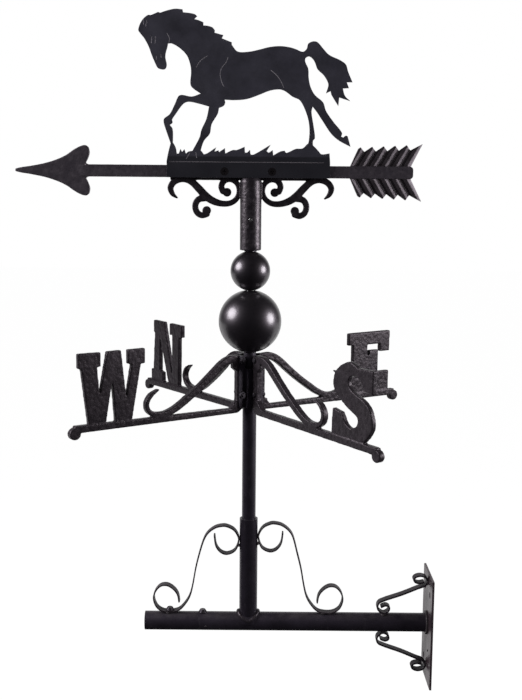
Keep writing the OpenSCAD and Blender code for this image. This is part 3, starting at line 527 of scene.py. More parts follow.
@dataclass(frozen=True)
class BareSteel:
    """Turned or worn steel with fine rings and stains.

    Attributes:
        name: The material's name.
        shade: The metal's colour.
        stain: Colour of its stains.
        rough: Least and most roughness.
        specular: Level of reflection.
        stains: Pattern of the stains.
        stain_share: How much of their colour they take.
        rings: Pattern of the rings round Z.
        ring_depth: Depth of the rings.
    """

    name: str
    shade: Colour = (0.46, 0.45, 0.46)
    stain: Colour = (0.16, 0.145, 0.14)
    rough: Span = (0.24, 0.42)
    specular: float = 0.5
    stains: ClassVar[Pattern] = Pattern(180.0, 6.0, 0.6, start=0.42, end=0.75)
    stain_share: ClassVar[float] = 0.8
    rings: ClassVar[Pattern] = Pattern(900.0, 3.0, 0.5, (0.1, 0.1, 1.0))
    ring_depth: ClassVar[float] = 0.03 * MM

    def material(self) -> bpy.types.Material:
        """Builds the material.

        Returns:
            The material.
        """
        graph = Graph(bpy.data.materials.new(self.name))
        colour = graph.blend(graph.shown(self.stains, 0.0, self.stain_share), self.shade, self.stain)
        rings = graph.noise(self.rings)
        normal = graph.bump(rings, self.ring_depth)
        rough = graph.spread(rings, *self.rough)
        return graph.shader(colour, rough, normal, metallic=1.0, specular=self.specular)


class Finishes:
    """Every finish of the weathervane. Each is built when it is first asked for."""

    @cached_property
    def plate(self) -> bpy.types.Material:
        """The wall plate's paint, greyed by scuffs."""
        return Coat("plate_coat", (0.0275, 0.0185, 0.0228), (0.34, 0.46), peel=300.0, depth=0.09 * MM,
                    scuff=(0.085, 0.065, 0.074), dust=0.12, specular=0.22,
                    tint=(1.0, 0.76, 0.88)).material()

    @cached_property
    def tube(self) -> bpy.types.Material:
        """The bracket tube's smooth coat."""
        return Coat("tube_coat", (0.0110, 0.0088, 0.0135), (0.34, 0.46), specular=0.4).material()

    @cached_property
    def post_painted_shade(self) -> bpy.types.Material:
        """A darker copy of the tube's coat: painted shade on the mast, sleeve, hub and spacers, on the
        plate's rounded edges and on the rims of the wall scrolls.
        """
        return Coat("post_coat_painted_shade", (0.0070, 0.0056, 0.0088), (0.34, 0.46), scuff=(0.06, 0.054, 0.06),
                    scuffed=0.08, dust=0.1, specular=0.34).material()

    @cached_property
    def strip(self) -> bpy.types.Material:
        """The matt coat of the bent strips."""
        return Coat("strip_coat", (0.0150, 0.0114, 0.0144), (0.46, 0.60), peel=520.0,
                    scuff=(0.06, 0.052, 0.058), scuffed=0.08, dust=0.1, specular=0.22).material()

    @cached_property
    def edge(self) -> bpy.types.Material:
        """Edges whose coat is worn, paler also as a painted glint."""
        return Coat("worn_edge_painted_glint", (0.050, 0.042, 0.050), (0.30, 0.44), peel=520.0, depth=0.04 * MM,
                    scuff=(0.15, 0.138, 0.145), scuffed=0.22).material()

    @cached_property
    def ball(self) -> bpy.types.Material:
        """The balls' gloss."""
        return Coat("ball_gloss", (0.0030, 0.0024, 0.0034), (0.34, 0.39), peel=90.0, depth=0.03 * MM,
                    scuff=(0.02, 0.018, 0.02), scuffed=0.04, dust=0.04, specular=0.56,
                    tint=(0.98, 0.85, 1.0), wave=0.03 * MM, varnish=0.42).material()

    @cached_property
    def sheet(self) -> bpy.types.Material:
        """The horse sheet's fine coat, darker in the grass and the base strip."""
        return Coat("sheet_coat", (0.0182, 0.0172, 0.0243), (0.42, 0.54), peel=700.0, depth=0.03 * MM,
                    scuff=(0.05, 0.047, 0.055), scuffed=0.05, dust=0.1, tint=(0.86, 0.84, 1.0),
                    foot=650 * MM).material()

    @cached_property
    def engraved(self) -> bpy.types.Material:
        """Floors of the engraved lines, bare and grey."""
        return Coat("engraved_line", (0.25, 0.235, 0.26), (0.5, 0.7), peel=800.0, depth=0.05 * MM,
                    scuff=(0.40, 0.38, 0.41), scuffed=0.3, dust=0.0).material()

    @cached_property
    def dim_line(self) -> bpy.types.Material:
        """Floors of the lowest engraved lines, half covered with paint."""
        return Coat("dim_line", (0.085, 0.078, 0.086), (0.5, 0.7), peel=800.0, depth=0.05 * MM,
                    scuff=(0.15, 0.14, 0.15), scuffed=0.3, dust=0.0).material()

    @cached_property
    def fixing(self) -> bpy.types.Material:
        """The coat of bolts, screws and nuts."""
        return Coat("fixing_coat", (0.0075, 0.0062, 0.0078), (0.34, 0.48), peel=800.0, depth=0.03 * MM,
                    scuff=(0.06, 0.055, 0.058), scuffed=0.08, dust=0.1, specular=0.35).material()

    @cached_property
    def casting(self) -> bpy.types.Material:
        """The cast iron of the south and west arms."""
        return Casting("cast_iron").material()

    @cached_property
    def shaded(self) -> bpy.types.Material:
        """The north arm's iron, with less sheen and a darker colour that is painted shade."""
        return Casting("shaded_iron", (0.0068, 0.0052, 0.0067), (0.0155, 0.0120, 0.0153),
                       specular=0.13).material()

    @cached_property
    def coarse_painted_shade(self) -> bpy.types.Material:
        """The coarser iron of the east arm, its colour darker as painted shade."""
        return Casting("coarse_iron_painted_shade", (0.0080, 0.0064, 0.0080), (0.0142, 0.0114, 0.0142), (0.36, 0.46),
                       grain=0.12 * MM, lump=1.2 * MM, specular=0.19).material()

    @cached_property
    def stem(self) -> bpy.types.Material:
        """The smoother iron of the vane's stem, with a sheen."""
        return Casting("turned_casting", (0.0060, 0.0048, 0.0065), (0.021, 0.0175, 0.0220), (0.32, 0.46),
                       lump=0.7 * MM, specular=0.4).material()

    @cached_property
    def arrow(self) -> bpy.types.Material:
        """The greyer iron of the arrow."""
        return Casting("arrow_casting", (0.0222, 0.0190, 0.0244), (0.040, 0.0342, 0.041), (0.34, 0.46),
                       lump=0.5 * MM, specular=0.35).material()

    @cached_property
    def flight(self) -> bpy.types.Material:
        """The flat sides of the flights' barbs, a middle tone between the shade painted in their furrows
        and the highlight painted on their backs.
        """
        return Casting("flight_casting", (0.0078, 0.0062, 0.0078), (0.0160, 0.0130, 0.0158), (0.44, 0.52),
                       grain=0.04 * MM, lump=0.3 * MM, specular=0.7).material()

    @cached_property
    def painted_highlight(self) -> bpy.types.Material:
        """A highlight painted on the backs of the flights' barbs: pale, glossy iron where the light falls
        on them.
        """
        return Casting("painted_highlight_casting", (0.085, 0.074, 0.084), (0.165, 0.148, 0.163), (0.42, 0.50),
                       grain=0.04 * MM, lump=0.3 * MM, specular=1.0).material()

    @cached_property
    def furrow_shade_and_screws(self) -> bpy.types.Material:
        """Dull black: shade painted in the flights' furrows, and the black of the sheet's screws."""
        return Casting("furrow_shade_screw_iron", (0.0030, 0.0024, 0.0030), (0.0050, 0.0042, 0.0050), (0.60, 0.70),
                       grain=0.04 * MM, lump=0.2 * MM, specular=0.1).material()

    @cached_property
    def weld(self) -> bpy.types.Material:
        """Weld under thin paint."""
        return Casting("painted_weld", (0.020, 0.017, 0.019), (0.055, 0.048, 0.053), (0.3, 0.45),
                       lump=0.3 * MM).material()

    @cached_property
    def steel(self) -> bpy.types.Material:
        """Bare steel of the bearing."""
        return BareSteel("bare_steel").material()


@dataclass(frozen=True)
class Skin:
    """How the copy of a casting is made soft and uneven.

    Attributes:
        voxel: Size of the cells of its new mesh.
        rounds: How often its edges are smoothed.
        relief: Depth of the uneven surface.
        swell: What gives back the thickness that the smoothing takes off.
        softness: How far each smoothing goes, from 0 to 1.
        grain: Size of the lumps.
        octaves: Number of finer lumps on them.
    """

    voxel: float
    rounds: int
    relief: float
    swell: float
    softness: float = 0.5
    grain: float = 4.5 * MM
    octaves: int = 3


class Workshop:
    """Ways of making and finishing a piece, used by every sub-assembly."""

    @staticmethod
    def only(piece: bpy.types.Object) -> None:
        """Selects one piece and nothing else, and makes it active.

        Args:
            piece: The piece.
        """
        bpy.ops.object.select_all(action="DESELECT")
        piece.select_set(True)
        bpy.context.view_layer.objects.active = piece

    @staticmethod
    def edit(piece: bpy.types.Object, every: bool = True) -> None:
        """Opens a piece in edit mode.

        Args:
            piece: The piece.
            every: Whether all of it is selected.
        """
        Workshop.only(piece)
        bpy.ops.object.mode_set(mode="EDIT")
        bpy.ops.mesh.select_all(action="SELECT" if every else "DESELECT")

    @staticmethod
    def close() -> None:
        """Leaves edit mode."""
        bpy.ops.object.mode_set(mode="OBJECT")

    @staticmethod
    def pick(piece: bpy.types.Object, chosen: list[int]) -> None:
        """Selects vertices by number in edit mode.

        Args:
            piece: The piece that is open in edit mode.
            chosen: Numbers of the vertices.
        """
        shape = bmesh.from_edit_mesh(piece.data)
        wanted = set(chosen)
        for vertex in shape.verts:
            vertex.select = vertex.index in wanted
        shape.select_flush_mode()
        bmesh.update_edit_mesh(piece.data)

    @staticmethod
    def settle(piece: bpy.types.Object) -> None:
        """Moves a piece's place, turn and scale into its mesh."""
        Workshop.only(piece)
        bpy.ops.object.transform_apply(location=True, rotation=True, scale=True)

    @staticmethod
    def apply_all(piece: bpy.types.Object) -> None:
        """Applies every modifier of a piece in order.

        Args:
            piece: The piece.
        """
        Workshop.only(piece)
        for modifier in list(piece.modifiers):
            bpy.ops.object.modifier_apply(modifier=modifier.name)

    @staticmethod
    def smooth(piece: bpy.types.Object, angle: float = 35.0) -> None:
        """Shades a piece smooth across edges flatter than an angle in degrees."""
        Workshop.only(piece)
        bpy.ops.object.shade_smooth_by_angle(angle=math.radians(angle))

    @staticmethod
    def join(name: str, pieces: list[bpy.types.Object]) -> bpy.types.Object:
        """Joins pieces to one object.

        Args:
            name: Name of the result.
            pieces: What is joined.

        Returns:
            The joined piece.
        """
        Workshop.only(pieces[0])
        for piece in pieces:
            piece.select_set(True)
        bpy.ops.object.join()
        pieces[0].name = name
        return pieces[0]

    @staticmethod
    def dress(piece: bpy.types.Object, *materials: bpy.types.Material) -> None:
        """Gives a piece its materials in place of those it has.

        Args:
            piece: The piece.
            materials: Its materials, in order.
        """
        piece.data.materials.clear()
        for material in materials:
            piece.data.materials.append(material)

    @staticmethod
    def merged_copy(node: str, name: str) -> bpy.types.Object:
        """Copies a CAD node and merges its loose triangles to flat faces.

        Args:
            node: The node.
            name: Name of the copy.

        Returns:
            The copy, at the node's place.
        """
        flat = math.radians(0.5)
        piece = bpy.data.objects.new(name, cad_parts[node].data.copy())
        bpy.context.scene.collection.objects.link(piece)
        Workshop.only(piece)
        bpy.ops.mesh.customdata_custom_splitnormals_clear()
        Workshop.edit(piece)
        bpy.ops.mesh.remove_doubles(threshold=MERGE)
        bpy.ops.mesh.dissolve_limited(angle_limit=flat)
        Workshop.close()
        for face in piece.data.polygons:
            face.material_index = 0
        return piece

    @staticmethod
    def bevel(piece: bpy.types.Object, width: float, angle: float) -> bpy.types.BevelModifier:
        """Adds a rounding of two steps to a piece's sharp edges.

        Args:
            piece: The piece.
            width: Width of the rounding.
            angle: Least angle of an edge that is rounded, in degrees.

        Returns:
            The modifier, which isn't applied yet.
        """
        bevel = piece.modifiers.new("edge", "BEVEL")
        bevel.width = width
        bevel.segments = 2
        bevel.limit_method = "ANGLE"
        bevel.angle_limit = math.radians(angle)
        return bevel

    @staticmethod
    def round_edges(piece: bpy.types.Object, width: float, angle: float = 40.0) -> None:
        """Rounds a piece's sharp edges and gives them the finish of edges.

        Args:
            piece: The piece.
            width: Width of the rounding.
            angle: Least angle of an edge that is rounded, in degrees.
        """
        bevel = Workshop.bevel(piece, width, angle)
        bevel.material = EdgedFinish.EDGE
        bevel.harden_normals = True
        Workshop.smooth(piece)
        Workshop.apply_all(piece)

    @staticmethod
    def bevelled(node: str, width: float, main: bpy.types.Material,
                 edge: bpy.types.Material) -> bpy.types.Object:
        """Makes a node's copy with rounded edges that have a finish of their own.

        Args:
            node: The node.
            width: Width of the rounding.
            main: Finish of the faces.
            edge: Finish of the rounded edges.

        Returns:
            The finished piece.
        """
        piece = Workshop.merged_copy(node, f"{node}_finished")
        Workshop.dress(piece, main, edge)
        Workshop.round_edges(piece, width)
        return piece

    @staticmethod
    def roughen(piece: bpy.types.Object, relief: float, grain: float, octaves: int, middle: float) -> None:
        """Adds an uneven surface to a piece.

        Args:
            piece: The piece.
            relief: Depth of the unevenness.
            grain: Size of its lumps.
            octaves: Number of finer lumps on them.
            middle: Value of the pattern at which the surface stays where it is.
        """
        lumps = bpy.data.textures.new(f"{piece.name}_lumps", "CLOUDS")
        lumps.noise_scale = grain
        lumps.noise_depth = octaves
        uneven = piece.modifiers.new("uneven", "DISPLACE")
        uneven.texture = lumps
        uneven.texture_coords = "LOCAL"
        uneven.strength = relief
        uneven.mid_level = middle

    @staticmethod
    def cast(node: str, skin: Skin, material: bpy.types.Material) -> bpy.types.Object:
        """Makes a node's copy with the soft edges and uneven faces of a sand casting.

        Args:
            node: The node.
            skin: How soft and uneven it is.
            material: Its finish.

        Returns:
            The finished piece.
        """
        piece = Workshop.merged_copy(node, f"{node}_cast")
        cells = piece.modifiers.new("cells", "REMESH")
        cells.mode = "VOXEL"
        cells.voxel_size = skin.voxel
        soft = piece.modifiers.new("soft", "SMOOTH")
        soft.factor = skin.softness
        soft.iterations = skin.rounds
        Workshop.roughen(piece, skin.relief, skin.grain, skin.octaves, 0.5 - skin.swell / skin.relief)
        Workshop.apply_all(piece)
        Workshop.dress(piece, material)
        Workshop.only(piece)
        bpy.ops.object.shade_smooth()
        return piece

    @staticmethod
    def hand_over(piece: bpy.types.Object, body: Body, slot: Slot, *nodes: str) -> None:
        """Puts a finished piece on its body, and in place of its nodes.

        Args:
            piece: The piece.
            body: What it moves with.
            slot: Its material slot in the record; not used.
            nodes: The nodes that it stands for.
        """
        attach(piece, body.value)
        if nodes:
            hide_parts(*nodes)
        LOG.info("%s: %d faces, on %s", piece.name, len(piece.data.polygons), body.value)

    @staticmethod
    def paint_node(node: str, material: bpy.types.Material) -> None:
        """Gives a CAD node that stays a better material.

        Args:
            node: The node.
            material: Its finish.
        """
        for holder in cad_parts[node].material_slots:
            holder.material = material
        LOG.info("%s: finished as it stands", node)


@dataclass
class WeldBead:
    """A ring of weld with the ripples of its run.

    Attributes:
        centre: Middle of the ring.
        radius: Radius of the ring.
        bead: Radius of the bead.
        along_x: Whether the ring stands round the X axis, and not round Z.
        saddle: Radius of a tube along X that the ring lies on, or 0.
        steps: Number of steps round the ring.
        sides: Number of sides of the bead.
        ripple: Height of the ripples.
        every: Number of steps from one ripple to the next.
        shading: Angle of the edges that are shaded smooth, in degrees.
    """

    centre: Place
    radius: float
    bead: float
    along_x: bool = False
    saddle: float = 0.0
    steps: int = 96
    sides: int = 12
    ripple: float = 0.3 * MM
    every: int = 3
    shading: float = 60.0

    def build(self, name: str, material: bpy.types.Material) -> bpy.types.Object:
        """Models the bead.

        Args:
            name: Name of the piece.
            material: Its finish.

        Returns:
            The piece.
        """
        bpy.ops.object.select_all(action="DESELECT")
        bpy.ops.mesh.primitive_torus_add(major_segments=self.steps, minor_segments=self.sides,
                                         major_radius=self.radius, minor_radius=self.bead)
        piece = bpy.context.object
        piece.name = name
        Workshop.edit(piece, every=False)
        for step in range(self.steps):
            ring = list(range(step * self.sides, (step + 1) * self.sides))
            Workshop.pick(piece, ring)
            if step % self.every == 0:
                bpy.ops.transform.shrink_fatten(value=self.ripple)
            if self.saddle:
                across = self.radius * math.sin(2 * math.pi * step / self.steps)
                lift = math.sqrt(max(self.saddle ** 2 - across ** 2, 0.0))
                bpy.ops.transform.translate(value=(0.0, 0.0, lift))
        Workshop.close()
        if self.along_x:
            piece.rotation_euler = (0.0, math.pi / 2, 0.0)
        piece.location = self.centre
        Workshop.settle(piece)
        Workshop.dress(piece, material)
        Workshop.smooth(piece, self.shading)
        return piece


@dataclass
class WeldBlob:
    """A short tack of weld, pressed flat and lumpy.

    Attributes:
        centre: Its middle.
        size: Its half length along each axis in millimetres.
        relief: Depth of its lumps.
        grain: Size of its lumps.
        octaves: Number of finer lumps on them.
        shading: Angle of the edges that are shaded smooth, in degrees.
    """

    centre: Place
    size: Place
    relief: float = 1.1 * MM
    grain: float = 2.2 * MM
    octaves: int = 2
    shading: float = 70.0

    def build(self, name: str, material: bpy.types.Material) -> bpy.types.Object:
        """Models the tack.

        Args:
            name: Name of the piece.
            material: Its finish.

        Returns:
            The piece.
        """
        bpy.ops.object.select_all(action="DESELECT")
        bpy.ops.mesh.primitive_ico_sphere_add(subdivisions=3, radius=1.0)
        piece = bpy.context.object
        piece.name = name
        Workshop.edit(piece)
        bpy.ops.transform.resize(value=tuple(part * MM for part in self.size))
        Workshop.close()
        piece.location = self.centre
        Workshop.settle(piece)
        Workshop.roughen(piece, self.relief, self.grain, self.octaves, 0.5)
        Workshop.apply_all(piece)
        Workshop.dress(piece, material)
        Workshop.smooth(piece, self.shading)
        return piece


@dataclass
class ThreadedEnd:
    """The thread that a screw shows beyond its nut.

    Attributes:
        radius: Radius of the screw.
        length: Length that shows.
        pitch: Distance from one crest to the next.
        sides: Number of its sides.
        root: Radius in the thread's grooves as a share of the screw's.
        rim: Width of the rim of its end as a share of the screw's radius.
        shading: Angle of the edges that are shaded smooth, in degrees.
    """

    radius: float
    length: float
    pitch: float = 0.8 * MM
    sides: int = 24
    root: float = 0.84
    rim: float = 0.12
    shading: float = 30.0

    def build(self, name: str) -> bpy.types.Object:
        """Models the thread along Z from the origin.

        Args:
            name: Name of the piece.

        Returns:
            The piece.
        """
        turns = max(2, round(self.length / self.pitch))
        bpy.ops.object.select_all(action="DESELECT")
        bpy.ops.mesh.primitive_circle_add(vertices=self.sides, radius=self.radius * self.root,
                                          fill_type="NOTHING")
        piece = bpy.context.object
        piece.name = name
        Workshop.edit(piece)
        step = self.length / turns / 2
        for _ in range(turns):
            for scale in (1 / self.root, self.root):
                bpy.ops.mesh.extrude_edges_move(TRANSFORM_OT_translate={"value": (0.0, 0.0, step)})
                bpy.ops.transform.resize(value=(scale, scale, 1.0))
        bpy.ops.mesh.edge_face_add()
        bpy.ops.mesh.inset(thickness=self.radius * self.rim, depth=0.0)
        Workshop.close()
        Workshop.smooth(piece, self.shading)
        return piece


@dataclass
class WallBracket:
    """The wall plate, tube, sleeve, scrolls and their welds, which stay still.

    Attributes:
        finishes: Every finish.
        tube_edge: Rounding of the plate's edges and the tubes' ends.
        strip_edge: Rounding of the bent strips and the bolts.
        tube_r: Radius of the bracket tube.
        sleeve_r: Radius of the sleeve.
        touch_left: Height at which the left scroll touches the sleeve.
        touch_right: Height at which the right scroll touches the sleeve.
        foot: Distance from the mast to the foot of a big scroll.
        brace_foot: Distance from the mast to the foot of a small scroll.
        brace_head: Height above the tube's axis of a small scroll's weld on the plate.
        front: Y of the scrolls' front edge, where their tacks sit.
        tube_bead: Radius of the weld round the tube.
        tube_gap: Distance of its middle from the tube and from the plate.
        sleeve_bead: Radius of the weld round the sleeve.
        sleeve_gap: Distance of its middle from the sleeve.
        saddle_gap: Distance of its middle from the tube.
    """

    finishes: Finishes
    tube_edge: float = 0.5 * MM
    strip_edge: float = 0.4 * MM
    tube_r: float = 13.0 * MM
    sleeve_r: float = 12.5 * MM
    touch_left: float = 123 * MM
    touch_right: float = 127 * MM
    foot: float = 110 * MM
    brace_foot: float = 190 * MM
    brace_head: float = 60 * MM
    front: float = -4.5 * MM
    tube_bead: float = 2.0 * MM
    tube_gap: float = 1.2 * MM
    sleeve_bead: float = 2.8 * MM
    sleeve_gap: float = 1.1 * MM
    saddle_gap: float = 1.4 * MM

    def build(self) -> None:
        """Builds the sub-assembly."""
        self.tubes()
        self.scrolls()
        self.fixings()
        self.welds()

    def tubes(self) -> None:
        """Finishes the plate, the tube with its end disc, and the sleeve."""
        looks = self.finishes
        # The plate's rounded edges take the darker coat as painted shade
        plate = Workshop.bevelled("wall_plate", self.tube_edge, looks.plate, looks.post_painted_shade)
        Workshop.hand_over(plate, Body.BRACKET, Slot.PLATE, "wall_plate")
        for node, coat in (("bracket_tube", looks.tube), ("tube_end_disc", looks.tube),
                           ("mast_sleeve", looks.post_painted_shade)):
            piece = Workshop.bevelled(node, self.tube_edge, coat, looks.edge)
            Workshop.hand_over(piece, Body.BRACKET, Slot.TUBE, node)

    def scrolls(self) -> None:
        """Finishes the bent strips."""
        looks = self.finishes
        for node, rim in (("left_scroll", looks.strip), ("right_scroll", looks.strip),
                          ("upper_wall_scroll", looks.post_painted_shade), ("lower_wall_scroll", looks.post_painted_shade)):
            piece = Workshop.bevelled(node, self.strip_edge, looks.strip, rim)
            Workshop.hand_over(piece, Body.BRACKET, Slot.STRIP, node)

    def fixings(self) -> None:
        """Finishes the bolts on the tube and the screw in the sleeve."""
        looks = self.finishes
        for node in ("scroll_bolt", "tube_bolt", "sleeve_clamp_screw"):
            piece = Workshop.bevelled(node, self.strip_edge, looks.fixing, looks.edge)
            Workshop.hand_over(piece, Body.BRACKET, Slot.FIXING, node)

    def welds(self) -> None:
        """Adds the welds of the tube, the sleeve and the strips."""
        looks = self.finishes
        tube_low, tube_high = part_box("bracket_tube")
        sleeve_low, sleeve_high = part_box("mast_sleeve")
        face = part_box("wall_plate")[0].x
        axis = (tube_low.z + tube_high.z) / 2
        mast = (sleeve_low.x + sleeve_high.x) / 2
        tube_ring = WeldBead((face - self.tube_gap, 0.0, axis), self.tube_r + self.tube_gap,
                             self.tube_bead, along_x=True)
        sleeve_ring = WeldBead((mast, 0.0, axis), self.sleeve_r + self.sleeve_gap, self.sleeve_bead,
                               saddle=self.tube_r + self.saddle_gap)
        beads = [tube_ring.build("tube_weld", looks.weld), sleeve_ring.build("sleeve_weld", looks.stem)]
        for index, tack in enumerate(self.tacks(mast, axis, face)):
            beads.append(tack.build(f"tack_{index}", looks.weld))
        Workshop.hand_over(Workshop.join("bracket_welds", beads), Body.BRACKET, Slot.TUBE)

    def tacks(self, mast: float, axis: float, face: float) -> list[WeldBlob]:
        """Places the scrolls' tacks, and two drops that missed their weld.

        Args:
            mast: X of the mast's axis.
            axis: Height of the tube's axis.
            face: X of the plate's face.

        Returns:
            The tacks.
        """
        top = axis + self.tube_r
        tacks = []
        # Over and under the place where a big scroll touches the sleeve
        for side, touch, drop in ((-1, self.touch_left, 6 * MM), (1, self.touch_right, 7 * MM)):
            beside = mast + side * (self.sleeve_r + 0.6 * MM)
            tacks.append(WeldBlob((beside, self.front, touch + 5 * MM), (1.8, 2.0, 2.6)))
            tacks.append(WeldBlob((beside, self.front, touch - drop), (1.8, 2.0, 2.4)))
        # At the feet of the big scrolls, of which the left one has a bolt too
        for shift in (-5 * MM, 4 * MM):
            place = (mast + self.foot + shift, self.front, top + 0.4 * MM)
            tacks.append(WeldBlob(place, (3.2, 2.0, 1.6)))
        place = (mast - self.foot - 3 * MM, self.front, top + 0.2 * MM)
        tacks.append(WeldBlob(place, (3.0, 2.0, 1.4)))
        # At both ends of the small scrolls
        for side in (1, -1):
            place = (mast + self.brace_foot, self.front - 0.5 * MM, axis + side * (self.tube_r - 0.8 * MM))
            tacks.append(WeldBlob(place, (4.0, 2.6, 2.0)))
        for side in (1, -1):
            place = (face - 0.8 * MM, self.front, axis + side * self.brace_head)
            tacks.append(WeldBlob(place, (1.8, 2.2, 4.0)))
        # Drops on the plate and on the tube
        tacks.append(WeldBlob((face - 0.2 * MM, -16.0 * MM, axis - 35 * MM), (0.7, 1.6, 1.6)))
        tacks.append(WeldBlob((mast - 59 * MM, -12.4 * MM, axis - 3.5 * MM), (1.8, 0.9, 0.9)))
        return tacks


@dataclass
class Mast:
    """The mast tube with its hub, four arms, spindle and balls.

    Attributes:
        finishes: Every finish.
        arm_skin: How soft and uneven the arms are.
        tube_edge: Rounding of the tube, the hub, the spacers and the nuts.
        screw_edge: Rounding of the spindle and the arms' screws.
        ball_wall: Wall of the hollow balls.
        ball_steps: Number of steps round a ball.
        bore: Radius of the hole through them.
        lip: Rounding of that hole.
        lip_angle: Least angle of an edge that is rounded there, in degrees.
        ball_shading: Angle of the edges that are shaded smooth, in degrees.
        turn: Turn of the east arm, in degrees.
        screw_out: Distance from the mast's axis to an arm's screws.
        screw_up: Heights of the arms' screws.
        thread_r: Radius of the arms' screws.
        thread_from: Distance from an arm's middle plane to where its thread shows.
        thread_length: Length of the thread that shows.
    """

    finishes: Finishes
    arm_skin: Skin = Skin(voxel=0.85 * MM, rounds=4, relief=0.35 * MM, swell=0.3 * MM)
    tube_edge: float = 0.4 * MM
    screw_edge: float = 0.3 * MM
    ball_wall: float = 2 * MM
    ball_steps: int = 112
    bore: float = 6.1 * MM
    lip: float = 0.5 * MM
    lip_angle: float = 50.0
    ball_shading: float = 40.0
    turn: float = 35.8
    screw_out: float = 17.5 * MM
    screw_up: Span = (332.0 * MM, 379.1 * MM)
    thread_r: float = 2.5 * MM
    thread_from: float = 10.6 * MM
    thread_length: float = 1.9 * MM

    def build(self) -> None:
        """Builds the sub-assembly."""
        self.column()
        self.arms()
        self.balls()
        self.fixings()

    def column(self) -> None:
        """Finishes the tube, hub, spindle and spacers."""
        looks = self.finishes
        # The darker coat on these is painted shade
        for node in ("mast_tube", "hub", "lower_spacer", "neck_spacer"):
            piece = Workshop.bevelled(node, self.tube_edge, looks.post_painted_shade, looks.tube)
            Workshop.hand_over(piece, Body.MAST, Slot.TUBE, node)
        spindle = Workshop.bevelled("spindle", self.screw_edge, looks.steel, looks.steel)
        Workshop.hand_over(spindle, Body.MAST, Slot.STEEL, "spindle")
        Workshop.paint_node("mast_plug", looks.fixing)
        Workshop.paint_node("bearing_ball", looks.steel)

    def arms(self) -> None:
        """Finishes the four castings with their letters."""
        looks = self.finishes
        # The north and east arms' irons are darker copies of the others': painted shade
        for node, iron in (("north_arm", looks.shaded), ("east_arm", looks.coarse_painted_shade),
                           ("south_arm", looks.casting), ("west_arm", looks.casting)):
            Workshop.hand_over(Workshop.cast(node, self.arm_skin, iron), Body.MAST, Slot.CAST, node)

    def balls(self) -> None:
        """Spins the two hollow balls with a rolled lip round their holes."""
        for node in ("large_ball", "small_ball"):
            Workshop.hand_over(self.ball(node), Body.MAST, Slot.BALL, node)

    def ball(self, node: str) -> bpy.types.Object:
        """Models a hollow ball.

        Args:
            node: The node that gives its size and place.

        Returns:
            The piece.
        """
        low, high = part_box(node)
        centre = (low + high) / 2
        radius = (high.x - low.x) / 2
        bpy.ops.object.select_all(action="DESELECT")
        bpy.ops.mesh.primitive_circle_add(vertices=self.ball_steps, radius=radius, fill_type="NOTHING",
                                          location=centre, rotation=(math.pi / 2, 0.0, 0.0))
        piece = bpy.context.object
        piece.name = f"{node}_spun"
        Workshop.settle(piece)
        Workshop.edit(piece)
        bpy.ops.mesh.bisect(plane_co=(centre.x + self.bore, centre.y, centre.z),
                            plane_no=(1.0, 0.0, 0.0), clear_inner=True)
        bpy.ops.mesh.select_all(action="SELECT")
        bpy.ops.mesh.spin(steps=self.ball_steps, angle=2 * math.pi, center=centre, axis=(0.0, 0.0, 1.0))
        bpy.ops.mesh.select_all(action="SELECT")
        bpy.ops.mesh.remove_doubles(threshold=MERGE)
        bpy.ops.mesh.normals_make_consistent(inside=False)
        Workshop.close()
        wall = piece.modifiers.new("wall", "SOLIDIFY")
        wall.thickness = self.ball_wall
        wall.offset = -1.0
        Workshop.bevel(piece, self.lip, self.lip_angle)
        Workshop.apply_all(piece)
        Workshop.dress(piece, self.finishes.ball)
        Workshop.smooth(piece, self.ball_shading)
        return piece

    def fixings(self) -> None:
        """Finishes the arms' screws and nuts and adds their threads."""
        looks = self.finishes
        screws = Workshop.bevelled("arm_screws", self.screw_edge, looks.fixing, looks.fixing)
        Workshop.hand_over(self.threads(), Body.MAST, Slot.FIXING)
        Workshop.hand_over(screws, Body.MAST, Slot.FIXING, "arm_screws")
        nuts = Workshop.bevelled("arm_nuts", self.tube_edge, looks.fixing, looks.fixing)
        Workshop.hand_over(nuts, Body.MAST, Slot.FIXING, "arm_nuts")

    def threads(self) -> bpy.types.Object:
        """Models the threads of the arms' screws, two on each arm.

        Returns:
            All the threads as one piece.
        """
        low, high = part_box("hub")
        mast = Matrix.Translation(((low.x + high.x) / 2, 0.0, 0.0))
        threads = []
        for arm in range(4):
            turned = mast @ Matrix.Rotation(math.radians(self.turn) + arm * math.pi / 2, 4, "Z")
            for height in self.screw_up:
                thread = ThreadedEnd(self.thread_r, self.thread_length).build(f"thread_{arm}_{height:.3f}")
                place = Matrix.Translation((self.screw_out, self.thread_from, height))
                thread.matrix_world = turned @ place @ Matrix.Rotation(-math.pi / 2, 4, "X")
                Workshop.settle(thread)
                Workshop.dress(thread, self.finishes.fixing)
                threads.append(thread)
        return Workshop.join("arm_threads", threads)


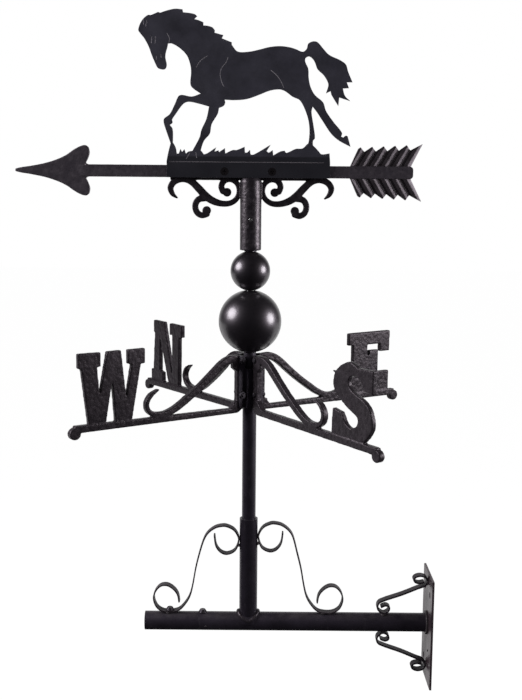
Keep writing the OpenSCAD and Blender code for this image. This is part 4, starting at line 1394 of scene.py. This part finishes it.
@dataclass
class Flights:
    """The arrow's flights: rows of rounded barbs that overlap like feathers.

    Attributes:
        length: Distance from the flights' root to the arrow's end.
        band: Half height of the shaft between the flights.
        pitch: Distance from one barb to the next, square to them.
        start: Distance from the root's line to the first barb's furrow.
        lean: Angle between the barbs and the shaft, in degrees.
        thin: Half thickness in the furrows.
        thick: Half thickness on the crests.
        step: Share of a barb where its steep side ends.
        shoulder: Half thickness there as a share of the crests'.
        crest: Share of a barb where its back starts to fall.
        fall: Power of the curve in which it falls.
        dark: Share of a barb where the shade painted in its furrow ends.
        painted_highlight: Share of a barb from which a highlight is painted on its back.
        furrow: Half thickness in the CAD node's furrows.
        node_pitch: Distance from one of the node's ridges to the next.
        node_ridge: Share of the node's barb where its ridge lies.
        node_thick: Half thickness on the node's ridges.
        skin: Share of the node's half thickness from which a point is on its face.
    """

    length: float = 99.2 * MM
    band: float = 8.2 * MM
    pitch: float = 12.8 * MM
    start: float = 5.7 * MM
    lean: float = 60.0
    thin: float = 0.6 * MM
    thick: float = 3.7 * MM
    step: float = 0.08
    shoulder: float = 0.88
    crest: float = 0.50
    fall: float = 1.35
    dark: float = 0.22
    painted_highlight: float = 0.57
    furrow: float = 0.8 * MM
    node_pitch: float = 13.16 * MM
    node_ridge: float = 0.68
    node_thick: float = 3.75 * MM
    skin: float = 0.85

    def section(self, across: float) -> float:
        """Gives the half thickness of the finished flights.

        Args:
            across: Distance square to the barbs from their root's line.

        Returns:
            The half thickness there.
        """
        share = self.share(across)
        shoulder = self.thick * self.shoulder
        if share < self.step:
            return self.thin + (shoulder - self.thin) * share / self.step
        if share < self.crest:
            rise = (share - self.step) / (self.crest - self.step)
            return shoulder + (self.thick - shoulder) * math.sin(rise * math.pi / 2)
        fallen = (share - self.crest) / (1.0 - self.crest)
        return self.thick - (self.thick - self.thin) * fallen ** self.fall

    def solid(self, across: float) -> float:
        """Gives the half thickness of the CAD node's flights.

        Args:
            across: Distance square to the barbs from their root's line.

        Returns:
            The half thickness there.
        """
        share = across / self.node_pitch % 1.0
        if share < self.node_ridge:
            rise = share / self.node_ridge
        else:
            rise = (1.0 - share) / (1.0 - self.node_ridge)
        return self.furrow + (self.node_thick - self.furrow) * rise

    def share(self, across: float) -> float:
        """Gives the share of its barb at which a distance lies, from 0 to 1."""
        return (across - self.start) / self.pitch % 1.0

    def across(self, place: Vector, root: float, middle: float) -> float:
        """Gives a point's distance from the line of the barbs' root.

        Args:
            place: The point.
            root: X of the flights' root.
            middle: Height of the shaft's axis.

        Returns:
            The distance, square to the barbs.
        """
        turn = math.radians(90.0 - self.lean)
        return (place.x - root) * math.cos(turn) - abs(place.z - middle) * math.sin(turn)

    def finish(self, across: float) -> TailFinish:
        """Names the finish of a place on the flights.

        Args:
            across: Distance square to the barbs from their root's line.

        Returns:
            The finish there.
        """
        share = self.share(across)
        # Painted shade in the furrow, a painted highlight on the back
        if share < self.dark:
            return TailFinish.FURROW
        return TailFinish.PAINTED_HIGHLIGHT if share > self.painted_highlight else TailFinish.BARB

    def carve(self, piece: bpy.types.Object, *materials: bpy.types.Material) -> None:
        """Gives the tail's copy its rounded barbs and their finishes, which paint shade and a highlight
        across each barb.

        Args:
            piece: The tail's copy, with its even ridges.
            materials: Finishes of the barbs, the highlight painted on their backs and the shade painted in
                their furrows.
        """
        low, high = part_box("arrow_tail_half")
        middle = (low.z + high.z) / 2
        root = high.x - self.length
        for vertex in piece.data.vertices:
            if abs(vertex.co.z - middle) >= self.band:
                across = self.across(vertex.co, root, middle)
                share = min(1.0, abs(vertex.co.y) / (self.skin * self.solid(across)))
                vertex.co.y = math.copysign(share * self.section(across), vertex.co.y)
        for material in materials:
            piece.data.materials.append(material)
        for face in piece.data.polygons:
            if abs(face.center.z - middle) > self.band:
                face.material_index = self.finish(self.across(face.center, root, middle))
        piece.data.update()


@dataclass
class Vane:
    """The turning part: casting, arrow, horse sheet and their screws.

    Attributes:
        finishes: Every finish.
        flights: The arrow's flights.
        stem_skin: How soft and uneven the stem casting is.
        head_skin: How soft and uneven the arrow's head is.
        tail_skin: How soft and uneven the arrow's tail is.
        sheet_edge: Rounding of the sheet's cut edge.
        sheet_angle: Least angle of an edge of the sheet that is rounded, in degrees.
        groove: Y of the floor of the engraved lines.
        groove_slack: How far from it a face of that floor may lie.
        facing: Least size of such a face's normal along Y.
        line_top: Height below which an engraved line is dim.
        screw_edge: Rounding of the sheet's screws and nuts.
        keeper_edge: Rounding of the retaining screw.
        shoulder: Distance from the arrow's point to where its shaft starts.
        ease: Length over which the shaft swells out of the head.
        past: How far beyond the shoulder its rounded step reaches.
        shaft_band: Half height of the shaft without its rounded edges.
        core: Half thickness below which nothing belongs to the arrow's face.
        head_thick: Half thickness of the head.
        shaft_thick: Half thickness of the shaft.
    """

    finishes: Finishes
    flights: Flights
    stem_skin: Skin = Skin(voxel=0.8 * MM, rounds=3, relief=0.25 * MM, swell=0.3 * MM)
    head_skin: Skin = Skin(voxel=0.8 * MM, rounds=2, relief=0.25 * MM, swell=0.05 * MM)
    tail_skin: Skin = Skin(voxel=0.5 * MM, rounds=1, relief=0.15 * MM, swell=0.0)
    sheet_edge: float = 0.3 * MM
    sheet_angle: float = 50.0
    groove: float = -6.7 * MM
    groove_slack: float = 0.05 * MM
    facing: float = 0.9
    line_top: float = 650 * MM
    screw_edge: float = 0.25 * MM
    keeper_edge: float = 0.4 * MM
    shoulder: float = 93 * MM
    ease: float = 10 * MM
    past: float = 2.5 * MM
    shaft_band: float = 7.4 * MM
    core: float = 2.2 * MM
    head_thick: float = 3.0 * MM
    shaft_thick: float = 4.0 * MM

    def build(self) -> None:
        """Builds the sub-assembly."""
        self.castings()
        self.sheet()
        self.fixings()

    def castings(self) -> None:
        """Finishes the stem casting and the two halves of the arrow."""
        looks = self.finishes
        stem = Workshop.cast("scroll_bracket", self.stem_skin, looks.stem)
        Workshop.hand_over(stem, Body.VANE, Slot.CAST, "scroll_bracket")
        head = Workshop.cast("arrow_head_half", self.head_skin, looks.arrow)
        self.ease_shoulder(head)
        Workshop.hand_over(head, Body.VANE, Slot.CAST, "arrow_head_half")
        tail = Workshop.cast("arrow_tail_half", self.tail_skin, looks.arrow)
        # The flights' finishes paint shade in the furrows and a highlight on each barb's back
        self.flights.carve(tail, looks.flight, looks.painted_highlight, looks.furrow_shade_and_screws)
        Workshop.hand_over(tail, Body.VANE, Slot.CAST, "arrow_tail_half")

    def ease_shoulder(self, head: bpy.types.Object) -> None:
        """Lets the arrow's shaft swell out of its head, with no step between them.

        Args:
            head: The head's copy.
        """
        low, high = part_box("arrow_head_half")
        middle = (low.z + high.z) / 2
        step = low.x + self.shoulder
        for vertex in head.data.vertices:
            share = min(1.0, (vertex.co.x - step + self.ease) / self.ease)
            inside = abs(vertex.co.z - middle) < self.shaft_band
            along = share > 0.0 and vertex.co.x <= step + self.past
            if inside and along and abs(vertex.co.y) >= self.core:
                swell = share * share * (3 - 2 * share)
                thick = self.head_thick + (self.shaft_thick - self.head_thick) * swell
                vertex.co.y = math.copysign(max(abs(vertex.co.y), thick), vertex.co.y)
        head.data.update()

    def sheet(self) -> None:
        """Finishes the horse sheet, with bare floors in its engraved lines."""
        looks = self.finishes
        piece = Workshop.merged_copy("horse_sheet", "horse_sheet_finished")
        Workshop.dress(piece, looks.sheet, looks.edge, looks.engraved, looks.dim_line)
        for face in piece.data.polygons:
            deep = abs(face.center.y - self.groove) < self.groove_slack
            if deep and abs(face.normal.y) > self.facing:
                bright = face.center.z > self.line_top
                face.material_index = EdgedFinish.LINE if bright else EdgedFinish.DIM_LINE
        Workshop.round_edges(piece, self.sheet_edge, self.sheet_angle)
        Workshop.hand_over(piece, Body.VANE, Slot.SHEET, "horse_sheet")

    def fixings(self) -> None:
        """Finishes the screws and nuts of the sheet and what holds the stem."""
        looks = self.finishes
        for node in ("sheet_screws", "sheet_nuts"):
            piece = Workshop.bevelled(node, self.screw_edge, looks.furrow_shade_and_screws, looks.furrow_shade_and_screws)
            Workshop.hand_over(piece, Body.VANE, Slot.FIXING, node)
        keeper = Workshop.bevelled("retaining_screw", self.keeper_edge, looks.steel, looks.steel)
        Workshop.hand_over(keeper, Body.VANE, Slot.STEEL, "retaining_screw")
        Workshop.paint_node("bearing_pad", looks.steel)


@dataclass(frozen=True)
class Softbox:
    """An oval area lamp that looks at the object.

    Attributes:
        name: The lamp's name.
        direction: From the object to the lamp.
        distance: How far away it is.
        size: Its width and height.
        power: Its power in watts.
    """

    name: str
    direction: Place
    distance: float
    size: Span
    power: float

    def hang(self, target: Vector) -> None:
        """Hangs the lamp.

        Args:
            target: What it looks at.
        """
        lamp = bpy.data.lights.new(self.name, "AREA")
        lamp.shape = "ELLIPSE"
        lamp.size, lamp.size_y = self.size
        lamp.energy = self.power
        holder = bpy.data.objects.new(self.name, lamp)
        bpy.context.scene.collection.objects.link(holder)
        away = Vector(self.direction).normalized()
        holder.location = target + away * self.distance
        holder.rotation_euler = away.to_track_quat("Z", "Y").to_euler()


@dataclass
class Studio:
    """The pale floor, soft light, white surroundings and camera.

    Attributes:
        floor_z: Height of the floor.
        floor_size: Length of the floor's side.
        floor_front: Y of its front edge, below what the camera sees.
        floor_tones: Pattern of the floor's tones.
        floor_shades: Darkest and lightest of them.
        glow: Brightness of the floor to the camera.
        glow_share: Share of it in what the camera sees of the floor.
        target: What the lamps look at.
        left: The left softbox.
        right: The right softbox.
        ambient: Level of the light from all round.
        front_level: Brightness of what mirrors in front of the object.
        white_from: Direction's Y from which it brightens, and at which it is white.
        camera: Place of the camera.
        pitch: How far the camera looks down, in radians.
        roll: How far it is rolled, in radians.
        lens: Its focal length in millimetres.
        sensor: Width of its sensor in millimetres.
    """

    floor_z: float = -0.42
    floor_size: float = 12.0
    floor_front: float = 0.5
    floor_tones: Pattern = Pattern(3.0, 3.0)
    floor_shades: tuple[Colour, Colour] = ((0.90, 0.90, 0.91), (0.94, 0.94, 0.94))
    glow: float = 1.02
    glow_share: float = 0.96
    target: Place = (-0.255, 0.0, 0.36)
    left: Softbox = Softbox("left_softbox", direction=(-0.880, -0.187, 0.435), distance=1.7,
                            size=(1.10, 0.95), power=44.0)
    right: Softbox = Softbox("right_softbox", direction=(0.973, -0.120, 0.195), distance=1.7,
                             size=(0.90, 0.85), power=35.0)
    ambient: float = 0.40
    front_level: float = 0.01
    white_from: Span = (0.62, 0.92)
    camera: Place = (-0.2398, -1.487, 0.6108)
    pitch: float = 0.1466
    roll: float = 0.008
    lens: float = 76.24
    sensor: float = 36.0

    def build(self) -> None:
        """Builds the surroundings."""
        self.floor()
        self.world()
        for softbox in (self.left, self.right):
            softbox.hang(Vector(self.target))
        self.view()

    def floor(self) -> None:
        """Lays a pale floor that is white to the camera and keeps shadows."""
        middle = self.floor_size / 2 + self.floor_front
        bpy.ops.object.select_all(action="DESELECT")
        bpy.ops.mesh.primitive_plane_add(size=self.floor_size, location=(0.0, middle, self.floor_z))
        piece = bpy.context.object
        piece.name = "floor"
        Workshop.settle(piece)
        graph = Graph(bpy.data.materials.new("pale_floor"))
        matt = graph.add("ShaderNodeBsdfDiffuse")
        graph.feed(graph.blend(graph.noise(self.floor_tones), *self.floor_shades), matt, "Color")
        glow = graph.add("ShaderNodeEmission")
        graph.feed(self.glow, glow, "Strength")
        seen = graph.rays("Is Camera Ray", "Is Glossy Ray", "Is Transmission Ray")
        mix = graph.add("ShaderNodeMixShader")
        graph.feed(graph.spread(seen, 0.0, self.glow_share, 0.0, 1.0), mix, 0)
        graph.feed(matt.outputs[0], mix, 1)
        graph.feed(glow.outputs[0], mix, 2)
        graph.finish(mix.outputs[0])
        piece.data.materials.append(graph.owner)

    def world(self) -> None:
        """Makes the surroundings white behind the object and dim in front of it."""
        world = bpy.data.worlds.new("studio")
        bpy.context.scene.world = world
        graph = Graph(world)
        toward = graph.part(graph.coordinates.outputs["Generated"], "Y")
        behind = graph.spread(toward, self.front_level, 1.0, *self.white_from)
        mirrored = graph.rays("Is Glossy Ray", "Is Transmission Ray")
        level = graph.between(mirrored, self.ambient, behind)
        level = graph.between(graph.rays("Is Camera Ray"), level, 1.0)
        sky = graph.add("ShaderNodeBackground")
        graph.feed((1.0, 1.0, 1.0), sky, "Color")
        graph.feed(level, sky, "Strength")
        graph.finish(sky.outputs[0], "ShaderNodeOutputWorld")

    def view(self) -> None:
        """Sets up the camera at the photograph's angle."""
        data = bpy.data.cameras.new("camera")
        data.sensor_fit = "HORIZONTAL"
        data.sensor_width = self.sensor
        data.lens = self.lens
        camera = bpy.data.objects.new("camera", data)
        bpy.context.scene.collection.objects.link(camera)
        ahead = Vector((0.0, math.cos(self.pitch), -math.sin(self.pitch)))
        upright = Vector((0.0, math.sin(self.pitch), math.cos(self.pitch)))
        side = Vector((1.0, 0.0, 0.0))
        right = side * math.cos(self.roll) + upright * math.sin(self.roll)
        up = upright * math.cos(self.roll) - side * math.sin(self.roll)
        camera.rotation_euler = Matrix((right, up, -ahead)).transposed().to_euler()
        camera.location = self.camera
        bpy.context.scene.camera = camera
        bpy.context.scene.view_settings.view_transform = "Standard"


def main() -> None:
    """Builds every sub-assembly and the studio."""
    logging.basicConfig(level=logging.INFO, format="%(name)s %(message)s")
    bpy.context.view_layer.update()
    finishes = Finishes()
    WallBracket(finishes).build()
    Mast(finishes).build()
    Vane(finishes, Flights()).build()
    Studio().build()
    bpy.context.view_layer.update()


if __name__ == "__main__":
    main()
